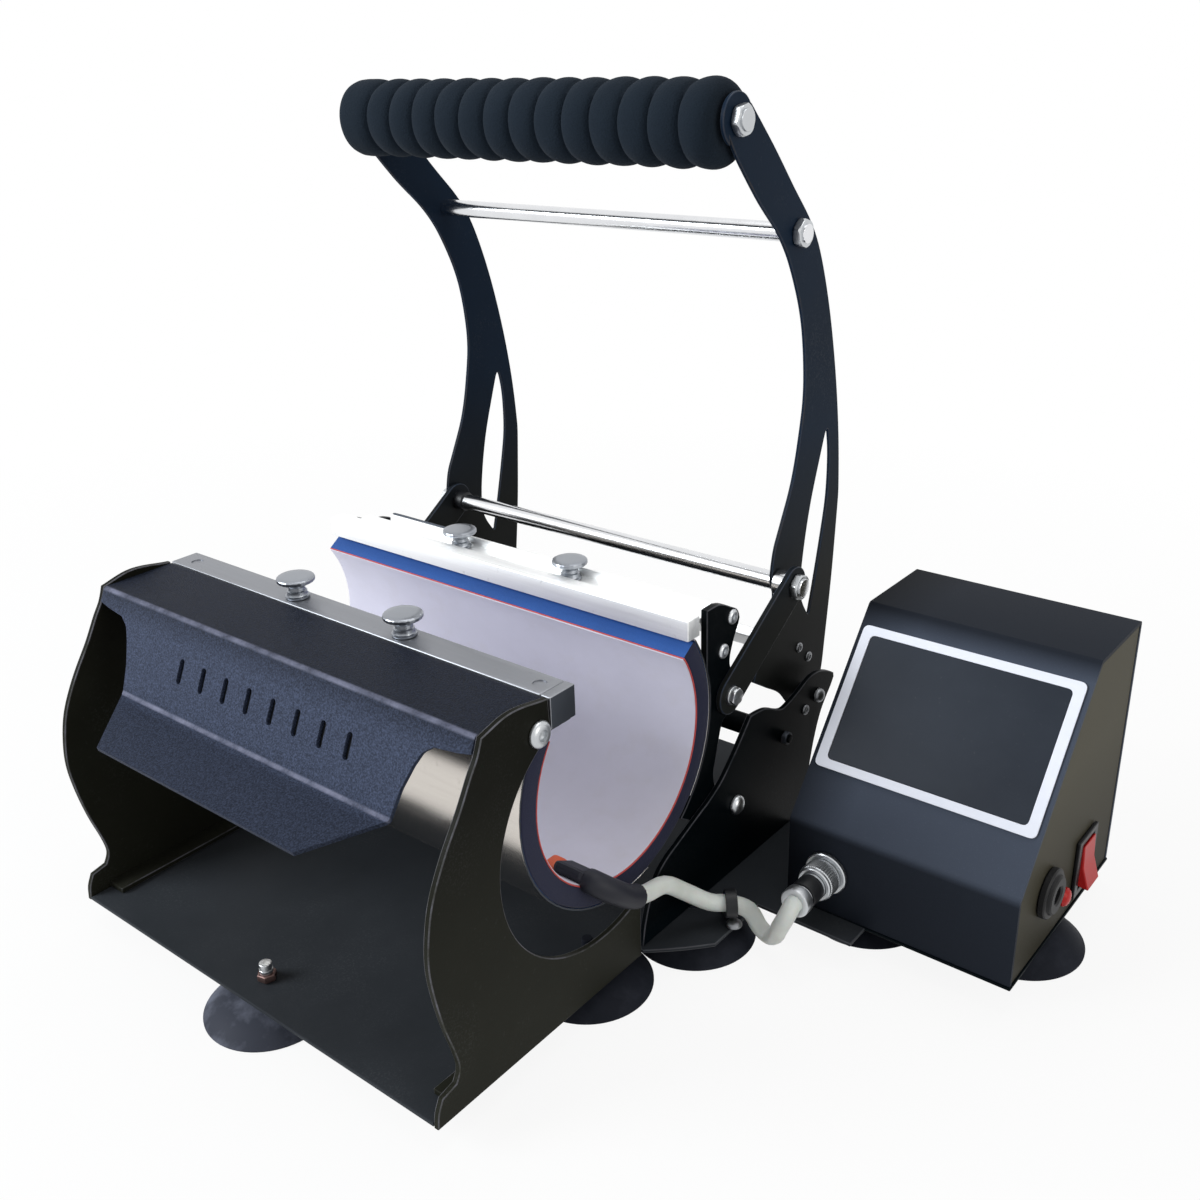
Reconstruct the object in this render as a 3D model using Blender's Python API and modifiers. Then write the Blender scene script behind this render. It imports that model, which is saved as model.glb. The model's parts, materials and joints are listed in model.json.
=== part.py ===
"""Cylindrical heat press: a hanging heating mat that a long handle closes round a tumbler.

Units are metres, +Z up and +X along the cradle towards the control box. The handle is open. The
sizes are drawn with the bench at z = 0, the cradle's axis over y = 0 and x = 0 half-way between the
side plates. At the end everything moves to the origin, the middle of the front cup's foremost rim.
"""

import math

import bmesh
import bpy
from mathutils import Matrix, Vector

# Fits, sheet gauges and facets
FIT = 0.0003
PIN_FIT = 0.0003
OVERRUN = 0.002
CIRCLE_SIDES = 20
HOLE_SIDES = 12
CUP_SIDES = 18
ARC_STEP = math.radians(6)
ARC_WIDEST_STEP = math.radians(30)
ARC_FACET = 0.0025
CURVE_STEPS = 3
MERGE = 0.0001

# Base sheet, its ears and its outrigger under the control box
BASE_UNDERSIDE = 0.0145
BASE_GAUGE = 0.002
BASE_FRONT = -0.137
BASE_REAR = 0.205
EAR_REACH = 0.015
EAR_FRONT = 0.020
EAR_REAR = 0.080
EAR_SLOPE = 0.012
CLIP_EAR_REACH = 0.026
OUTRIGGER_REACH = 0.080
OUTRIGGER_FRONT = 0.072
OUTRIGGER_REAR = 0.150

# Front side plates
SIDE_PLATE_INNER = 0.132
SIDE_PLATE_GAUGE = 0.003
FRONT_PLATE_DEPTH = 0.142
FRONT_PLATE_HEIGHT = 0.1735
CRADLE_CUT_RADIUS = 0.066
CRADLE_CUT_Y = -0.024
CRADLE_CUT_Z = 0.110
SIDE_FLANGE_WIDTH = 0.012
SIDE_FLANGE_GAUGE = 0.003
SIDE_FLANGE_END = 0.012
FRONT_HORN_SHARES = (
    (0.007, 0.043), (0.028, 0.081), (0.088, 0.092), (0.106, 0.127), (0.095, 0.182), (0.063, 0.274),
    (0.037, 0.378), (0.025, 0.470), (0.035, 0.556), (0.063, 0.643), (0.120, 0.735), (0.194, 0.827),
    (0.243, 0.896), (0.275, 0.937), (0.296, 0.980))
FRONT_CREST_SHARES = ((0.401, 1.0), (0.577, 0.983))

# Bent front cover, with a row of vents across its sloping face
COVER_GAUGE = 0.002
COVER_TOP = 0.1846
COVER_LEDGE = 0.1687
COVER_LEDGE_REAR = -0.0375
COVER_RISER = -0.0534
COVER_FOLD = -0.095
COVER_LIP_FOLD_Y = -0.1145
COVER_LIP_FOLD_Z = 0.1422
COVER_LIP_Y = -0.1458
COVER_LIP_Z = 0.1338
COVER_LIP_HALF = 0.0725
COVER_NECK_SHARES = ((0.184, 1.0), (0.219, 0.852), (0.309, 0.806), (0.462, 0.780), (1.0, 0.738))
VENT_COUNT = 8
VENT_PITCH = 0.01725
VENT_WIDTH = 0.0035
VENT_SPAN = 0.0125
VENT_CENTRE_X = 0.004
VENT_FACE_SHARE = 0.53

# Front clamp bar, tie rod and thumb screws
CLAMP_BAR_HALF = 0.1345
CLAMP_BAR_REAR = -0.037
CLAMP_BAR_DEPTH = 0.016
CLAMP_BAR_HEIGHT = 0.0153
FRONT_ROD_RADIUS = 0.0045
FRONT_ROD_Y = -0.062
FRONT_ROD_Z = 0.1715
ROD_HEAD_RADIUS = 0.0062
ROD_HEAD_DEPTH = 0.0035
FRONT_THUMB_X = 0.0385
THUMB_HEAD_RADIUS = 0.0096
THUMB_HEAD_DEPTH = 0.0028
THUMB_COLLAR_RADIUS = 0.0052
THUMB_COLLAR_DEPTH = 0.0083
THUMB_WASHER_RADIUS = 0.0061
THUMB_WASHER_GAUGE = 0.0012
THUMB_SHANK_RADIUS = 0.003
THUMB_SHANK_LENGTH = 0.020
THUMB_LOBES = 12
THUMB_LOBE_SHARE = 0.06

# Heating mat and its steel backing, hung round the cradle's axis
MAT_AXIS_Z = 0.126
MAT_INNER = 0.0595
MAT_THICKNESS = 0.011
MAT_HALF = 0.130
MAT_FRONT_ANGLE = math.radians(145)
MAT_BRIDGE_FRONT_ANGLE = math.radians(285)
MAT_BRIDGE_REAR_ANGLE = math.radians(320)
MAT_REAR_ANGLE = math.radians(394.5)
MAT_SPLIT = 0.0005
BACKING_GAUGE = 0.001
BACKING_HEM_HEIGHT = 0.012

# Jaw: two hinged plates that carry the rear half of the mat
JAW_PIVOT_Y = 0.091
JAW_PIVOT_Z = 0.058
JAW_PLATE_INNER = 0.126
JAW_PLATE_GAUGE = 0.004
JAW_TOP = 0.178
JAW_FRONT = 0.069
JAW_FOOT_ANGLE = math.radians(-50)
JAW_BOSS_RADIUS = 0.014
JAW_CREST_LEFT_SHARES = ((0.758, 0.960), (0.797, 0.958), (0.868, 0.925), (1.016, 0.912))
JAW_CREST_RIGHT_SHARES = ((0.758, 1.0), (0.868, 0.998), (1.037, 0.938))
JAW_BACK_SHARES = (
    (1.080, 0.884), (1.022, 0.798), (0.985, 0.695), (1.058, 0.575), (1.012, 0.490), (0.921, 0.437),
    (0.890, 0.383), (0.857, 0.295), (0.829, 0.214), (0.846, 0.140))
JAW_BAR_FRONT = 0.0527
JAW_BAR_DEPTH = 0.010
JAW_BAR_UNDERSIDE = 0.1673
JAW_BAR_HEIGHT = 0.011
CROSSMEMBER_REAR = 0.080
CROSSMEMBER_GAUGE = 0.003
CROSSMEMBER_TOP = 0.173
CROSSMEMBER_FLANGE_GAUGE = 0.0015
CROSSMEMBER_FLANGE_TOP = 0.1776
CROSSMEMBER_FLANGE_LEFT = -0.102
JAW_THUMB_X = 0.0405
JAW_THUMB_Y = 0.0715

# Rear brackets and their tie rod
BRACKET_INNER = 0.1307
BRACKET_GAUGE = 0.003
BRACKET_FLANGE = 0.012
BRACKET_ROD_RADIUS = 0.006
BRACKET_STUD_RADIUS = 0.0025
BRACKET_STUD_ACROSS = 0.007
BRACKET_ROD_Y = 0.139
BRACKET_ROD_Z = 0.077
BRACKET_SHARES = (
    (-0.964, 0.157), (-0.821, 0.508), (-0.524, 0.677), (-0.167, 0.860), (0.167, 1.239))
BRACKET_CREST_SHARES = (
    (0.167, 1.239), (0.345, 1.211), (0.524, 1.112), (0.631, 1.112), (0.940, 1.211))
BRACKET_BACK_SHARES = ((1.155, 1.140), (1.226, 1.056), (1.071, 0.831), (0.976, 0.565), (0.917, 0.256))
BRACKET_FOOT_SHARES = ((0.917, 0.0), (-0.988, 0.0))

# Handle: two curved arms, a foam grip, two rods and a cross bar
HANDLE_PIVOT_Y = 0.175
HANDLE_PIVOT_Z = 0.088
GRIP_Y = 0.1025
GRIP_Z = 0.4005
ARM_INNER = 0.1204
ARM_GAUGE = 0.002
ARM_FRONT_SHARES = (
    (-1.090, 0.976), (-0.986, 0.944), (-0.742, 0.883), (-0.480, 0.826), (-0.302, 0.768), (-0.138, 0.678),
    (-0.076, 0.57), (-0.124, 0.486), (-0.214, 0.41), (-0.356, 0.342), (-0.433, 0.304), (-0.469, 0.253),
    (-0.439, 0.208), (-0.69, 0.08))
ARM_FOOT_SHARES = ((-0.497, 0.051), (-0.290, 0.019), (-0.166, -0.013))
ARM_HEEL_SHARES = ((-0.166, -0.013), (0.028, -0.051), (0.207, -0.038), (0.317, 0.0), (0.359, 0.051))
ARM_REAR_SHARES = (
    (0.436, 0.198), (0.479, 0.326), (0.480, 0.374), (0.439, 0.470), (0.356, 0.576), (0.232, 0.685),
    (0.080, 0.778), (-0.072, 0.835), (-0.323, 0.896), (-0.572, 0.957), (-0.855, 1.021))
ARM_SLOT_FRONT_SHARES = (
    (0.262, 0.481), (0.240, 0.476), (0.184, 0.442), (0.068, 0.365), (-0.006, 0.294), (-0.045, 0.230),
    (-0.028, 0.186), (0.069, 0.149), (0.099, 0.147))
ARM_SLOT_REAR_SHARES = (
    (0.099, 0.147), (0.168, 0.205), (0.262, 0.294), (0.314, 0.358), (0.318, 0.429), (0.287, 0.474),
    (0.262, 0.481))
ARM_END_RADIUS = 0.012
GRIP_HALF = 0.1181
GRIP_RADIUS = 0.020
GRIP_GROOVE = 0.0026
GRIP_RIBS = 14
RIB_SHARES = (0.0, 0.28, 0.72)
GRIP_ROD_RADIUS = 0.005
UPPER_ROD_RADIUS = 0.0047
UPPER_ROD_Y = 0.1575
UPPER_ROD_Z = 0.3455
LOWER_ROD_RADIUS = 0.005
LOWER_ROD_Y = 0.147
LOWER_ROD_Z = 0.165
CROSS_BAR_Y = 0.1775
CROSS_BAR_Z = 0.111
CROSS_BAR_DEPTH = 0.022
CROSS_BAR_GAUGE = 0.006
CROSS_BAR_TILT = math.radians(-43)
NUT_ACROSS = 0.013
NUT_DEPTH = 0.0042
ROD_END = 0.001
SPACER_RADIUS = 0.0075
COLLAR_RADIUS = 0.006
COLLAR_DEPTH = 0.007

# Links between the lower rod and the jaw
LINK_INNER = 0.1304
LINK_GAUGE = 0.003
LINK_HALF_WIDTH = 0.0105
LINK_PIN_Y = 0.0866
LINK_PIN_Z = 0.1255
LINK_PIN_RADIUS = 0.004
LINK_PIN_PLAY = 0.0018
LINK_PIN_HEAD = 0.004
LINK_PIN_HEAD_RADIUS = 0.005

# Pivot bolts
PIVOT_RADIUS = 0.003
JAW_PIVOT_HEAD_RADIUS = 0.0055
HANDLE_PIVOT_HEAD_RADIUS = 0.0042
PIVOT_HEAD_DEPTH = 0.004

# Suction cups
CUP_RADIUS = 0.033
CUP_RIM_WIDTH = 0.007
CUP_RIM_HEIGHT = 0.0012
CUP_NECK_RADIUS = 0.012
CUP_HOLLOW = 0.0045
CUP_POST_RADIUS = 0.0029
CUP_POST_RISE = 0.0095
FRONT_CUP_Y = -0.121
CRADLE_CUP_X = 0.114
CRADLE_CUP_Y = -0.012
EAR_CUP_X = 0.134
EAR_CUP_Y = 0.0515
OUTRIGGER_CUP_X = 0.199
OUTRIGGER_CUP_Y = 0.121
BOX_CUP_INSET = 0.018
BOX_CUP_Y = 0.146

# Control box
BOX_INNER_X = 0.169
BOX_WIDTH = 0.122
BOX_UNDERSIDE = 0.0168
BOX_FRONT = 0.088
BOX_REAR = 0.220
BOX_FOLD_Z = 0.065
BOX_BROW_Y = 0.163
BOX_TOP = 0.1593
BOX_GAUGE = 0.002
PANEL_WIDTH = 0.117
PANEL_HEIGHT = 0.078
PANEL_GAUGE = 0.0012
PANEL_UP_SLOPE = 0.069
PANEL_CORNER = 0.003
SWITCH_Y = 0.176
SWITCH_Z = 0.040
SWITCH_WIDTH = 0.026
SWITCH_HEIGHT = 0.034
SWITCH_FLANGE = 0.002
SWITCH_BODY_DEPTH = 0.016
SWITCH_WALL = 0.003
ROCKER_RADIUS = 0.017
ROCKER_TILT = math.radians(10)
ROCKER_WIDTH = 0.016
ROCKER_PROUD = 0.005
LAMP_Y = 0.151
LAMP_Z = 0.032
LAMP_RADIUS = 0.005
LAMP_PROUD = 0.004
GLAND_Y = 0.125
GLAND_Z = 0.050
GLAND_RADIUS = 0.013
GLAND_BORE = 0.0045
GLAND_PROUD = 0.009
SOCKET_X = 0.192
SOCKET_Z = 0.041
SOCKET_FLANGE_RADIUS = 0.0115
SOCKET_FLANGE_DEPTH = 0.0028
SOCKET_BARREL_RADIUS = 0.0075
SOCKET_BARREL_LENGTH = 0.008
PLUG_RADIUS = 0.0070
PLUG_LENGTH = 0.014
PLUG_BOOT_RADIUS = 0.0060
PLUG_BOOT_LENGTH = 0.0055
RING_RADIUS = 0.0098
RING_LENGTH = 0.011

# Heater lead, its terminal and its clip
LEAD_RADIUS = 0.0045
TERMINAL_LENGTH = 0.018
TERMINAL_WIDTH = 0.014
TERMINAL_DEPTH = 0.006
TERMINAL_ANGLE = math.radians(241)
TERMINAL_END_X = 0.1305
CLIP_WALL = 0.0012
CLIP_WIDTH = 0.006
CLIP_FOOT = 0.010
CLIP_PLAY = 0.0016
CLIP_TURN = math.radians(-49)
CLIP_POINT = (0.158, 0.050, 0.029)
LEAD_SPACING = 0.0105
LEAD_ROUTE = (
    (0.1308, -0.0280, 0.0765), (0.1345, -0.0280, 0.0765), (0.1392, -0.0215, 0.0705),
    (0.1400, -0.0100, 0.0610),
    (0.1400, 0.0020, 0.0555), (0.1402, 0.0180, 0.0515), (0.1425, 0.0320, 0.0400),
    (0.1500, 0.0430, 0.0305), (0.1580, 0.0500, 0.0290), (0.1655, 0.0560, 0.0245),
    (0.1700, 0.0590, 0.0145), (0.1755, 0.0595, 0.0110), (0.1815, 0.0560, 0.0165),
    (0.1870, 0.0500, 0.0270), (0.1913, 0.0490, 0.0365), (0.1920, 0.0530, 0.0410))

BASE_TOP = BASE_UNDERSIDE + BASE_GAUGE
SIDE_PLATE_OUTER = SIDE_PLATE_INNER + SIDE_PLATE_GAUGE
MAT_OUTER = MAT_INNER + MAT_THICKNESS
BACKING_INNER = MAT_OUTER + FIT
BACKING_OUTER = BACKING_INNER + BACKING_GAUGE
ARM_OUTER = ARM_INNER + ARM_GAUGE
JAW_PLATE_OUTER = JAW_PLATE_INNER + JAW_PLATE_GAUGE
BRACKET_OUTER = BRACKET_INNER + BRACKET_GAUGE
LINK_OUTER = LINK_INNER + LINK_GAUGE
CLAMP_BAR_Y = CLAMP_BAR_REAR - CLAMP_BAR_DEPTH / 2
BOX_OUTER_X = BOX_INNER_X + BOX_WIDTH
BOX_CUP_X = BOX_OUTER_X - BOX_CUP_INSET
LEFT_LINK_OUTER = ARM_INNER - FIT
LEFT_LINK_INNER = LEFT_LINK_OUTER - LINK_GAUGE
ORIGIN_Y = FRONT_CUP_Y - CUP_RADIUS + CUP_RIM_WIDTH / 2
SIDES = (("left", -1), ("right", 1))


def clear_scene():
    for obj in list(bpy.data.objects):
        bpy.data.objects.remove(obj, do_unlink=True)


def collection_named(name):
    collection = bpy.data.collections.new(name)
    bpy.context.scene.collection.children.link(collection)
    return collection


def material(name, colour, roughness, metallic=0.0):
    made = bpy.data.materials.new(name)
    made.use_nodes = True
    shader = made.node_tree.nodes["Principled BSDF"]
    shader.inputs["Base Color"].default_value = (*colour, 1.0)
    shader.inputs["Roughness"].default_value = roughness
    shader.inputs["Metallic"].default_value = metallic
    made.diffuse_color = (*colour, 1.0)
    return made


def circle(radius, centre=(0.0, 0.0), sides=HOLE_SIDES, turn=0.0):
    """Points round a circle, corners on the radius."""
    points = []
    for index in range(sides):
        angle = turn + math.tau * index / sides
        points.append((centre[0] + radius * math.cos(angle), centre[1] + radius * math.sin(angle)))
    return points


def arc(centre, radius, start, end):
    """Points along an arc, both ends included."""
    step = min(max(ARC_STEP, ARC_FACET / radius), ARC_WIDEST_STEP)
    count = max(2, round(abs(end - start) / step))
    points = []
    for index in range(count + 1):
        angle = start + (end - start) * index / count
        points.append((centre[0] + radius * math.cos(angle), centre[1] + radius * math.sin(angle)))
    return points


def curve_through(points, steps=CURVE_STEPS):
    """Points on a smooth curve through the given ones (Catmull-Rom), both ends included."""
    path = [Vector(point) for point in points]
    path = [2 * path[0] - path[1], *path, 2 * path[-1] - path[-2]]
    result = []
    for index in range(1, len(path) - 2):
        before, here, there, after = path[index - 1:index + 3]
        for step in range(steps):
            t = step / steps
            result.append(
                (2 * here + (there - before) * t + (2 * before - 5 * here + 4 * there - after) * t * t
                 + (3 * here - before - 3 * there + after) * t ** 3) / 2)
    result.append(path[-2])
    return [tuple(point) for point in result]


def placed(shares, origin, span):
    """Outline points from shares of a span in y and z."""
    return [(origin[0] + along * span[0], origin[1] + up * span[1]) for along, up in shares]


def link_object(name, mesh, finish, parent=None):
    obj = bpy.data.objects.new(name, mesh)
    PARTS.objects.link(obj)
    obj.data.materials.clear()
    obj.data.materials.append(finish)
    if parent:
        obj.parent = parent
        obj.matrix_parent_inverse = parent.matrix_world.inverted()
    return obj


def smooth(mesh, angle=math.radians(35)):
    mesh.shade_smooth()
    mesh.set_sharp_from_angle(angle=angle)


def mesh_from_curve(curve, matrix):
    """A curve's filled form as a closed mesh in world space."""
    guide = bpy.data.objects.new("guide", curve)
    GUIDES.objects.link(guide)
    guide.matrix_world = matrix
    bpy.context.view_layer.update()
    mesh = bpy.data.meshes.new_from_object(guide.evaluated_get(bpy.context.evaluated_depsgraph_get()))
    mesh.transform(matrix)
    built = bmesh.new()
    built.from_mesh(mesh)
    bmesh.ops.remove_doubles(built, verts=built.verts, dist=MERGE / 10)
    bmesh.ops.recalc_face_normals(built, faces=built.faces)
    built.to_mesh(mesh)
    built.free()
    bpy.data.objects.remove(guide, do_unlink=True)
    return mesh


# Local X, Y, Z of an outline turned to world Y, Z, X, and the two other ways round
ACROSS_X = Matrix(((0, 0, 1, 0), (1, 0, 0, 0), (0, 1, 0, 0), (0, 0, 0, 1)))
ACROSS_Y = Matrix(((1, 0, 0, 0), (0, 0, -1, 0), (0, 1, 0, 0), (0, 0, 0, 1)))
ACROSS_Z = Matrix.Identity(4)


def sheet_mesh(outline, low, high, turned, holes=()):
    """A flat outline with holes, extruded between two planes."""
    curve = bpy.data.curves.new("outline", "CURVE")
    curve.dimensions = "2D"
    curve.fill_mode = "BOTH"
    curve.extrude = (high - low) / 2
    for points in (outline, *holes):
        spline = curve.splines.new("POLY")
        spline.points.add(len(points) - 1)
        for point, (u, v) in zip(spline.points, points):
            point.co = (u, v, 0, 1)
        spline.use_cyclic_u = True
    return mesh_from_curve(curve, turned @ Matrix.Translation((0, 0, (high + low) / 2)))


def plate(name, outline, low, high, finish, holes=(), turned=ACROSS_X, parent=None):
    mesh = sheet_mesh(outline, low, high, turned, holes)
    smooth(mesh)
    return link_object(name, mesh, finish, parent)


def across(side, inner, outer):
    """A plate's two planes on one side of the press, lower one first."""
    return (inner, outer) if side > 0 else (-outer, -inner)


def box_mesh(low, high, bevel=0.0):
    built = bmesh.new()
    bmesh.ops.create_cube(built, size=1.0)
    size = [b - a for a, b in zip(low, high)]
    middle = [(a + b) / 2 for a, b in zip(low, high)]
    bmesh.ops.scale(built, vec=size, verts=built.verts)
    bmesh.ops.translate(built, vec=middle, verts=built.verts)
    if bevel:
        bmesh.ops.bevel(built, geom=built.edges, offset=bevel, segments=2, profile=0.5, affect="EDGES")
    mesh = bpy.data.meshes.new("box")
    built.to_mesh(mesh)
    built.free()
    return mesh


def turned_mesh(profile, axis, origin, sides=CIRCLE_SIDES):
    """A closed solid turned from (radius, height) points that start and end on the axis."""
    built = bmesh.new()
    corners = [built.verts.new((radius, 0, height)) for radius, height in profile]
    for first, second in zip(corners, corners[1:]):
        built.edges.new((first, second))
    mesh = bpy.data.meshes.new("profile")
    built.to_mesh(mesh)
    built.free()
    guide = bpy.data.objects.new("guide", mesh)
    GUIDES.objects.link(guide)
    screw = guide.modifiers.new("turn", "SCREW")
    screw.steps = sides
    screw.render_steps = sides
    screw.use_merge_vertices = True
    screw.merge_threshold = MERGE / 10
    bpy.context.view_layer.update()
    turned = bpy.data.meshes.new_from_object(guide.evaluated_get(bpy.context.evaluated_depsgraph_get()))
    bpy.data.objects.remove(guide, do_unlink=True)
    built = bmesh.new()
    built.from_mesh(turned)
    bmesh.ops.remove_doubles(built, verts=built.verts, dist=MERGE / 10)
    bmesh.ops.recalc_face_normals(built, faces=built.faces)
    built.to_mesh(turned)
    built.free()
    turned.transform(Matrix.Translation(origin) @ Vector((0, 0, 1)).rotation_difference(axis).to_matrix().to_4x4())
    smooth(turned)
    return turned


X_AXIS = Vector((1, 0, 0))
Y_AXIS = Vector((0, 1, 0))
Z_AXIS = Vector((0, 0, 1))


def rod_profile(sections):
    """A stepped profile from (radius, start, end) lengths that follow each other."""
    profile = [(0, sections[0][1])]
    for radius, start, end in sections:
        profile += [(radius, start), (radius, end)]
    return [*profile, (0, sections[-1][2])]


def joined(target, tool, operation="UNION"):
    """One mesh from two by an exact Boolean. Both meshes are in world space."""
    first = bpy.data.objects.new("first", target)
    second = bpy.data.objects.new("second", tool)
    GUIDES.objects.link(first)
    GUIDES.objects.link(second)
    modifier = first.modifiers.new("join", "BOOLEAN")
    modifier.operation = operation
    modifier.object = second
    bpy.context.view_layer.update()
    mesh = bpy.data.meshes.new_from_object(first.evaluated_get(bpy.context.evaluated_depsgraph_get()))
    bpy.data.objects.remove(first, do_unlink=True)
    bpy.data.objects.remove(second, do_unlink=True)
    built = bmesh.new()
    built.from_mesh(mesh)
    bmesh.ops.remove_doubles(built, verts=built.verts, dist=MERGE / 100)
    built.to_mesh(mesh)
    built.free()
    smooth(mesh)
    return mesh


def pivot(name, y, z, axis_name="ARROWS", parent=None, x=0.0):
    """An empty on a joint's axis, which carries the pieces that turn there."""
    empty = bpy.data.objects.new(name, None)
    empty.empty_display_type = axis_name
    empty.empty_display_size = GRIP_RADIUS
    PARTS.objects.link(empty)
    empty.location = (x, y, z)
    if parent:
        empty.parent = parent
        empty.location = Vector((x, y, z)) - parent.location
    bpy.context.view_layer.update()
    return empty


def hexagon(across_flats, centre, turn=0.0):
    return circle(across_flats / math.sqrt(3), centre, 6, turn)


def nut_mesh(y, z, low, high, across_flats=NUT_ACROSS):
    return sheet_mesh(hexagon(across_flats, (y, z)), low, high, ACROSS_X)


def hung_sector(inner, outer, start, end):
    """The outline of a curved strip round the cradle's axis."""
    centre = (0.0, MAT_AXIS_Z)
    return [*arc(centre, outer, start, end), *arc(centre, inner, end, start)]


def make_base():
    side = SIDE_PLATE_INNER - FIT
    wide = SIDE_PLATE_OUTER
    step = BASE_FRONT + FRONT_PLATE_DEPTH + 4 * FIT
    left = [
        (-side, BASE_FRONT), (-side, step), (-wide, step), (-wide - EAR_REACH, EAR_FRONT),
        (-wide - EAR_REACH, EAR_REAR), (-wide, EAR_REAR + EAR_SLOPE), (-wide, BASE_REAR)]
    right = [
        (wide, BASE_REAR), (wide, OUTRIGGER_REAR), (wide + OUTRIGGER_REACH, OUTRIGGER_REAR),
        (wide + OUTRIGGER_REACH, OUTRIGGER_FRONT), (wide + CLIP_EAR_REACH, OUTRIGGER_FRONT),
        (wide + CLIP_EAR_REACH, EAR_FRONT + EAR_SLOPE), (wide + EAR_REACH, EAR_FRONT), (wide, step),
        (side, step), (side, BASE_FRONT)]
    places = [(0.0, FRONT_CUP_Y), (OUTRIGGER_CUP_X, OUTRIGGER_CUP_Y)]
    for _, sign in SIDES:
        places += [(sign * CRADLE_CUP_X, CRADLE_CUP_Y), (sign * EAR_CUP_X, EAR_CUP_Y)]
    holes = [circle(CUP_POST_RADIUS + FIT, place) for place in places]
    plate("base_plate", left + right, BASE_UNDERSIDE, BASE_TOP, BLACK_PAINT, holes, ACROSS_Z)


def cup(name, x, y, seat, post_top):
    """A suction cup with its moulded-in post, its rim flat on the bench."""
    hollow = CUP_RADIUS - CUP_RIM_WIDTH
    profile = [
        (0, post_top), (CUP_POST_RADIUS, post_top), (CUP_POST_RADIUS, seat - FIT),
        (CUP_NECK_RADIUS, seat - FIT), (CUP_NECK_RADIUS, seat * 0.76), (CUP_RADIUS * 0.56, seat * 0.62),
        (CUP_RADIUS * 0.82, seat * 0.34), (CUP_RADIUS, CUP_RIM_HEIGHT), (CUP_RADIUS, 0),
        (hollow, 0), (0, CUP_HOLLOW)]
    mesh = turned_mesh(profile, Z_AXIS, (x, y, 0), CUP_SIDES)
    link_object(name, mesh, RUBBER)


def make_cups():
    proud = BASE_TOP + CUP_POST_RISE
    cup("front_suction_cup", 0.0, FRONT_CUP_Y, BASE_UNDERSIDE, proud)
    for word, sign in SIDES:
        cup(f"cradle_suction_cup_{word}", sign * CRADLE_CUP_X, CRADLE_CUP_Y, BASE_UNDERSIDE, proud)
        cup(f"ear_suction_cup_{word}", sign * EAR_CUP_X, EAR_CUP_Y, BASE_UNDERSIDE, BASE_TOP - FIT)
    cup("outrigger_suction_cup", OUTRIGGER_CUP_X, OUTRIGGER_CUP_Y, BASE_UNDERSIDE, BASE_TOP - FIT)
    cup("box_suction_cup", BOX_CUP_X, BOX_CUP_Y, BOX_UNDERSIDE, BOX_UNDERSIDE + BOX_GAUGE)
    low = BASE_TOP + FIT
    plate(
        "front_cup_nut", hexagon(NUT_ACROSS, (0.0, FRONT_CUP_Y)), low, low + NUT_DEPTH, ZINC,
        [circle(CUP_POST_RADIUS + PIN_FIT, (0.0, FRONT_CUP_Y))], ACROSS_Z)


def make_front_plates():
    origin = (BASE_FRONT, BASE_UNDERSIDE)
    span = (FRONT_PLATE_DEPTH, FRONT_PLATE_HEIGHT)
    centre = (CRADLE_CUT_Y, CRADLE_CUT_Z)
    horn = placed(FRONT_HORN_SHARES, origin, span)
    foot_y = BASE_FRONT + FRONT_PLATE_DEPTH
    end = math.atan2(-math.sqrt(CRADLE_CUT_RADIUS ** 2 - (foot_y - CRADLE_CUT_Y) ** 2), foot_y - CRADLE_CUT_Y)
    crest = placed(FRONT_CREST_SHARES, origin, span)
    start = math.acos((crest[-1][0] + BACKING_GAUGE - CRADLE_CUT_Y) / CRADLE_CUT_RADIUS)
    outline = [
        (BASE_FRONT, BASE_UNDERSIDE), *horn[:2], *curve_through(horn[2:]), *crest,
        *arc(centre, CRADLE_CUT_RADIUS, start, end + math.tau), (foot_y, BASE_UNDERSIDE)]
    hole = circle(FRONT_ROD_RADIUS + PIN_FIT, (FRONT_ROD_Y, FRONT_ROD_Z))
    for word, sign in SIDES:
        low, high = across(sign, SIDE_PLATE_INNER, SIDE_PLATE_OUTER)
        mesh = sheet_mesh(outline, low, high, ACROSS_X, [hole])
        edges = sorted((sign * (SIDE_PLATE_INNER + SIDE_PLATE_GAUGE / 2), sign * (SIDE_PLATE_INNER - SIDE_FLANGE_WIDTH)))
        flange = box_mesh(
            (edges[0], BASE_FRONT + SIDE_FLANGE_END, BASE_TOP + FIT),
            (edges[1], foot_y - SIDE_FLANGE_END, BASE_TOP + FIT + SIDE_FLANGE_GAUGE))
        link_object(f"front_side_plate_{word}", joined(mesh, flange), BLACK_PAINT)


def cover_stations():
    """(y, z, half width) along the cover's outer face, from the rear ledge to the lip's edge."""
    half = SIDE_PLATE_INNER - FIT - COVER_GAUGE / 10
    stations = [
        (COVER_LEDGE_REAR, COVER_LEDGE, half), (COVER_RISER, COVER_LEDGE, half),
        (COVER_RISER, COVER_TOP, half), (COVER_FOLD, COVER_TOP, half)]
    for down, width in COVER_NECK_SHARES:
        y = COVER_FOLD + (COVER_LIP_FOLD_Y - COVER_FOLD) * down
        z = COVER_TOP + (COVER_LIP_FOLD_Z - COVER_TOP) * down
        stations.append((y, z, half * width))
    stations.append((COVER_LIP_Y, COVER_LIP_Z, COVER_LIP_HALF))
    return stations


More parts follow.
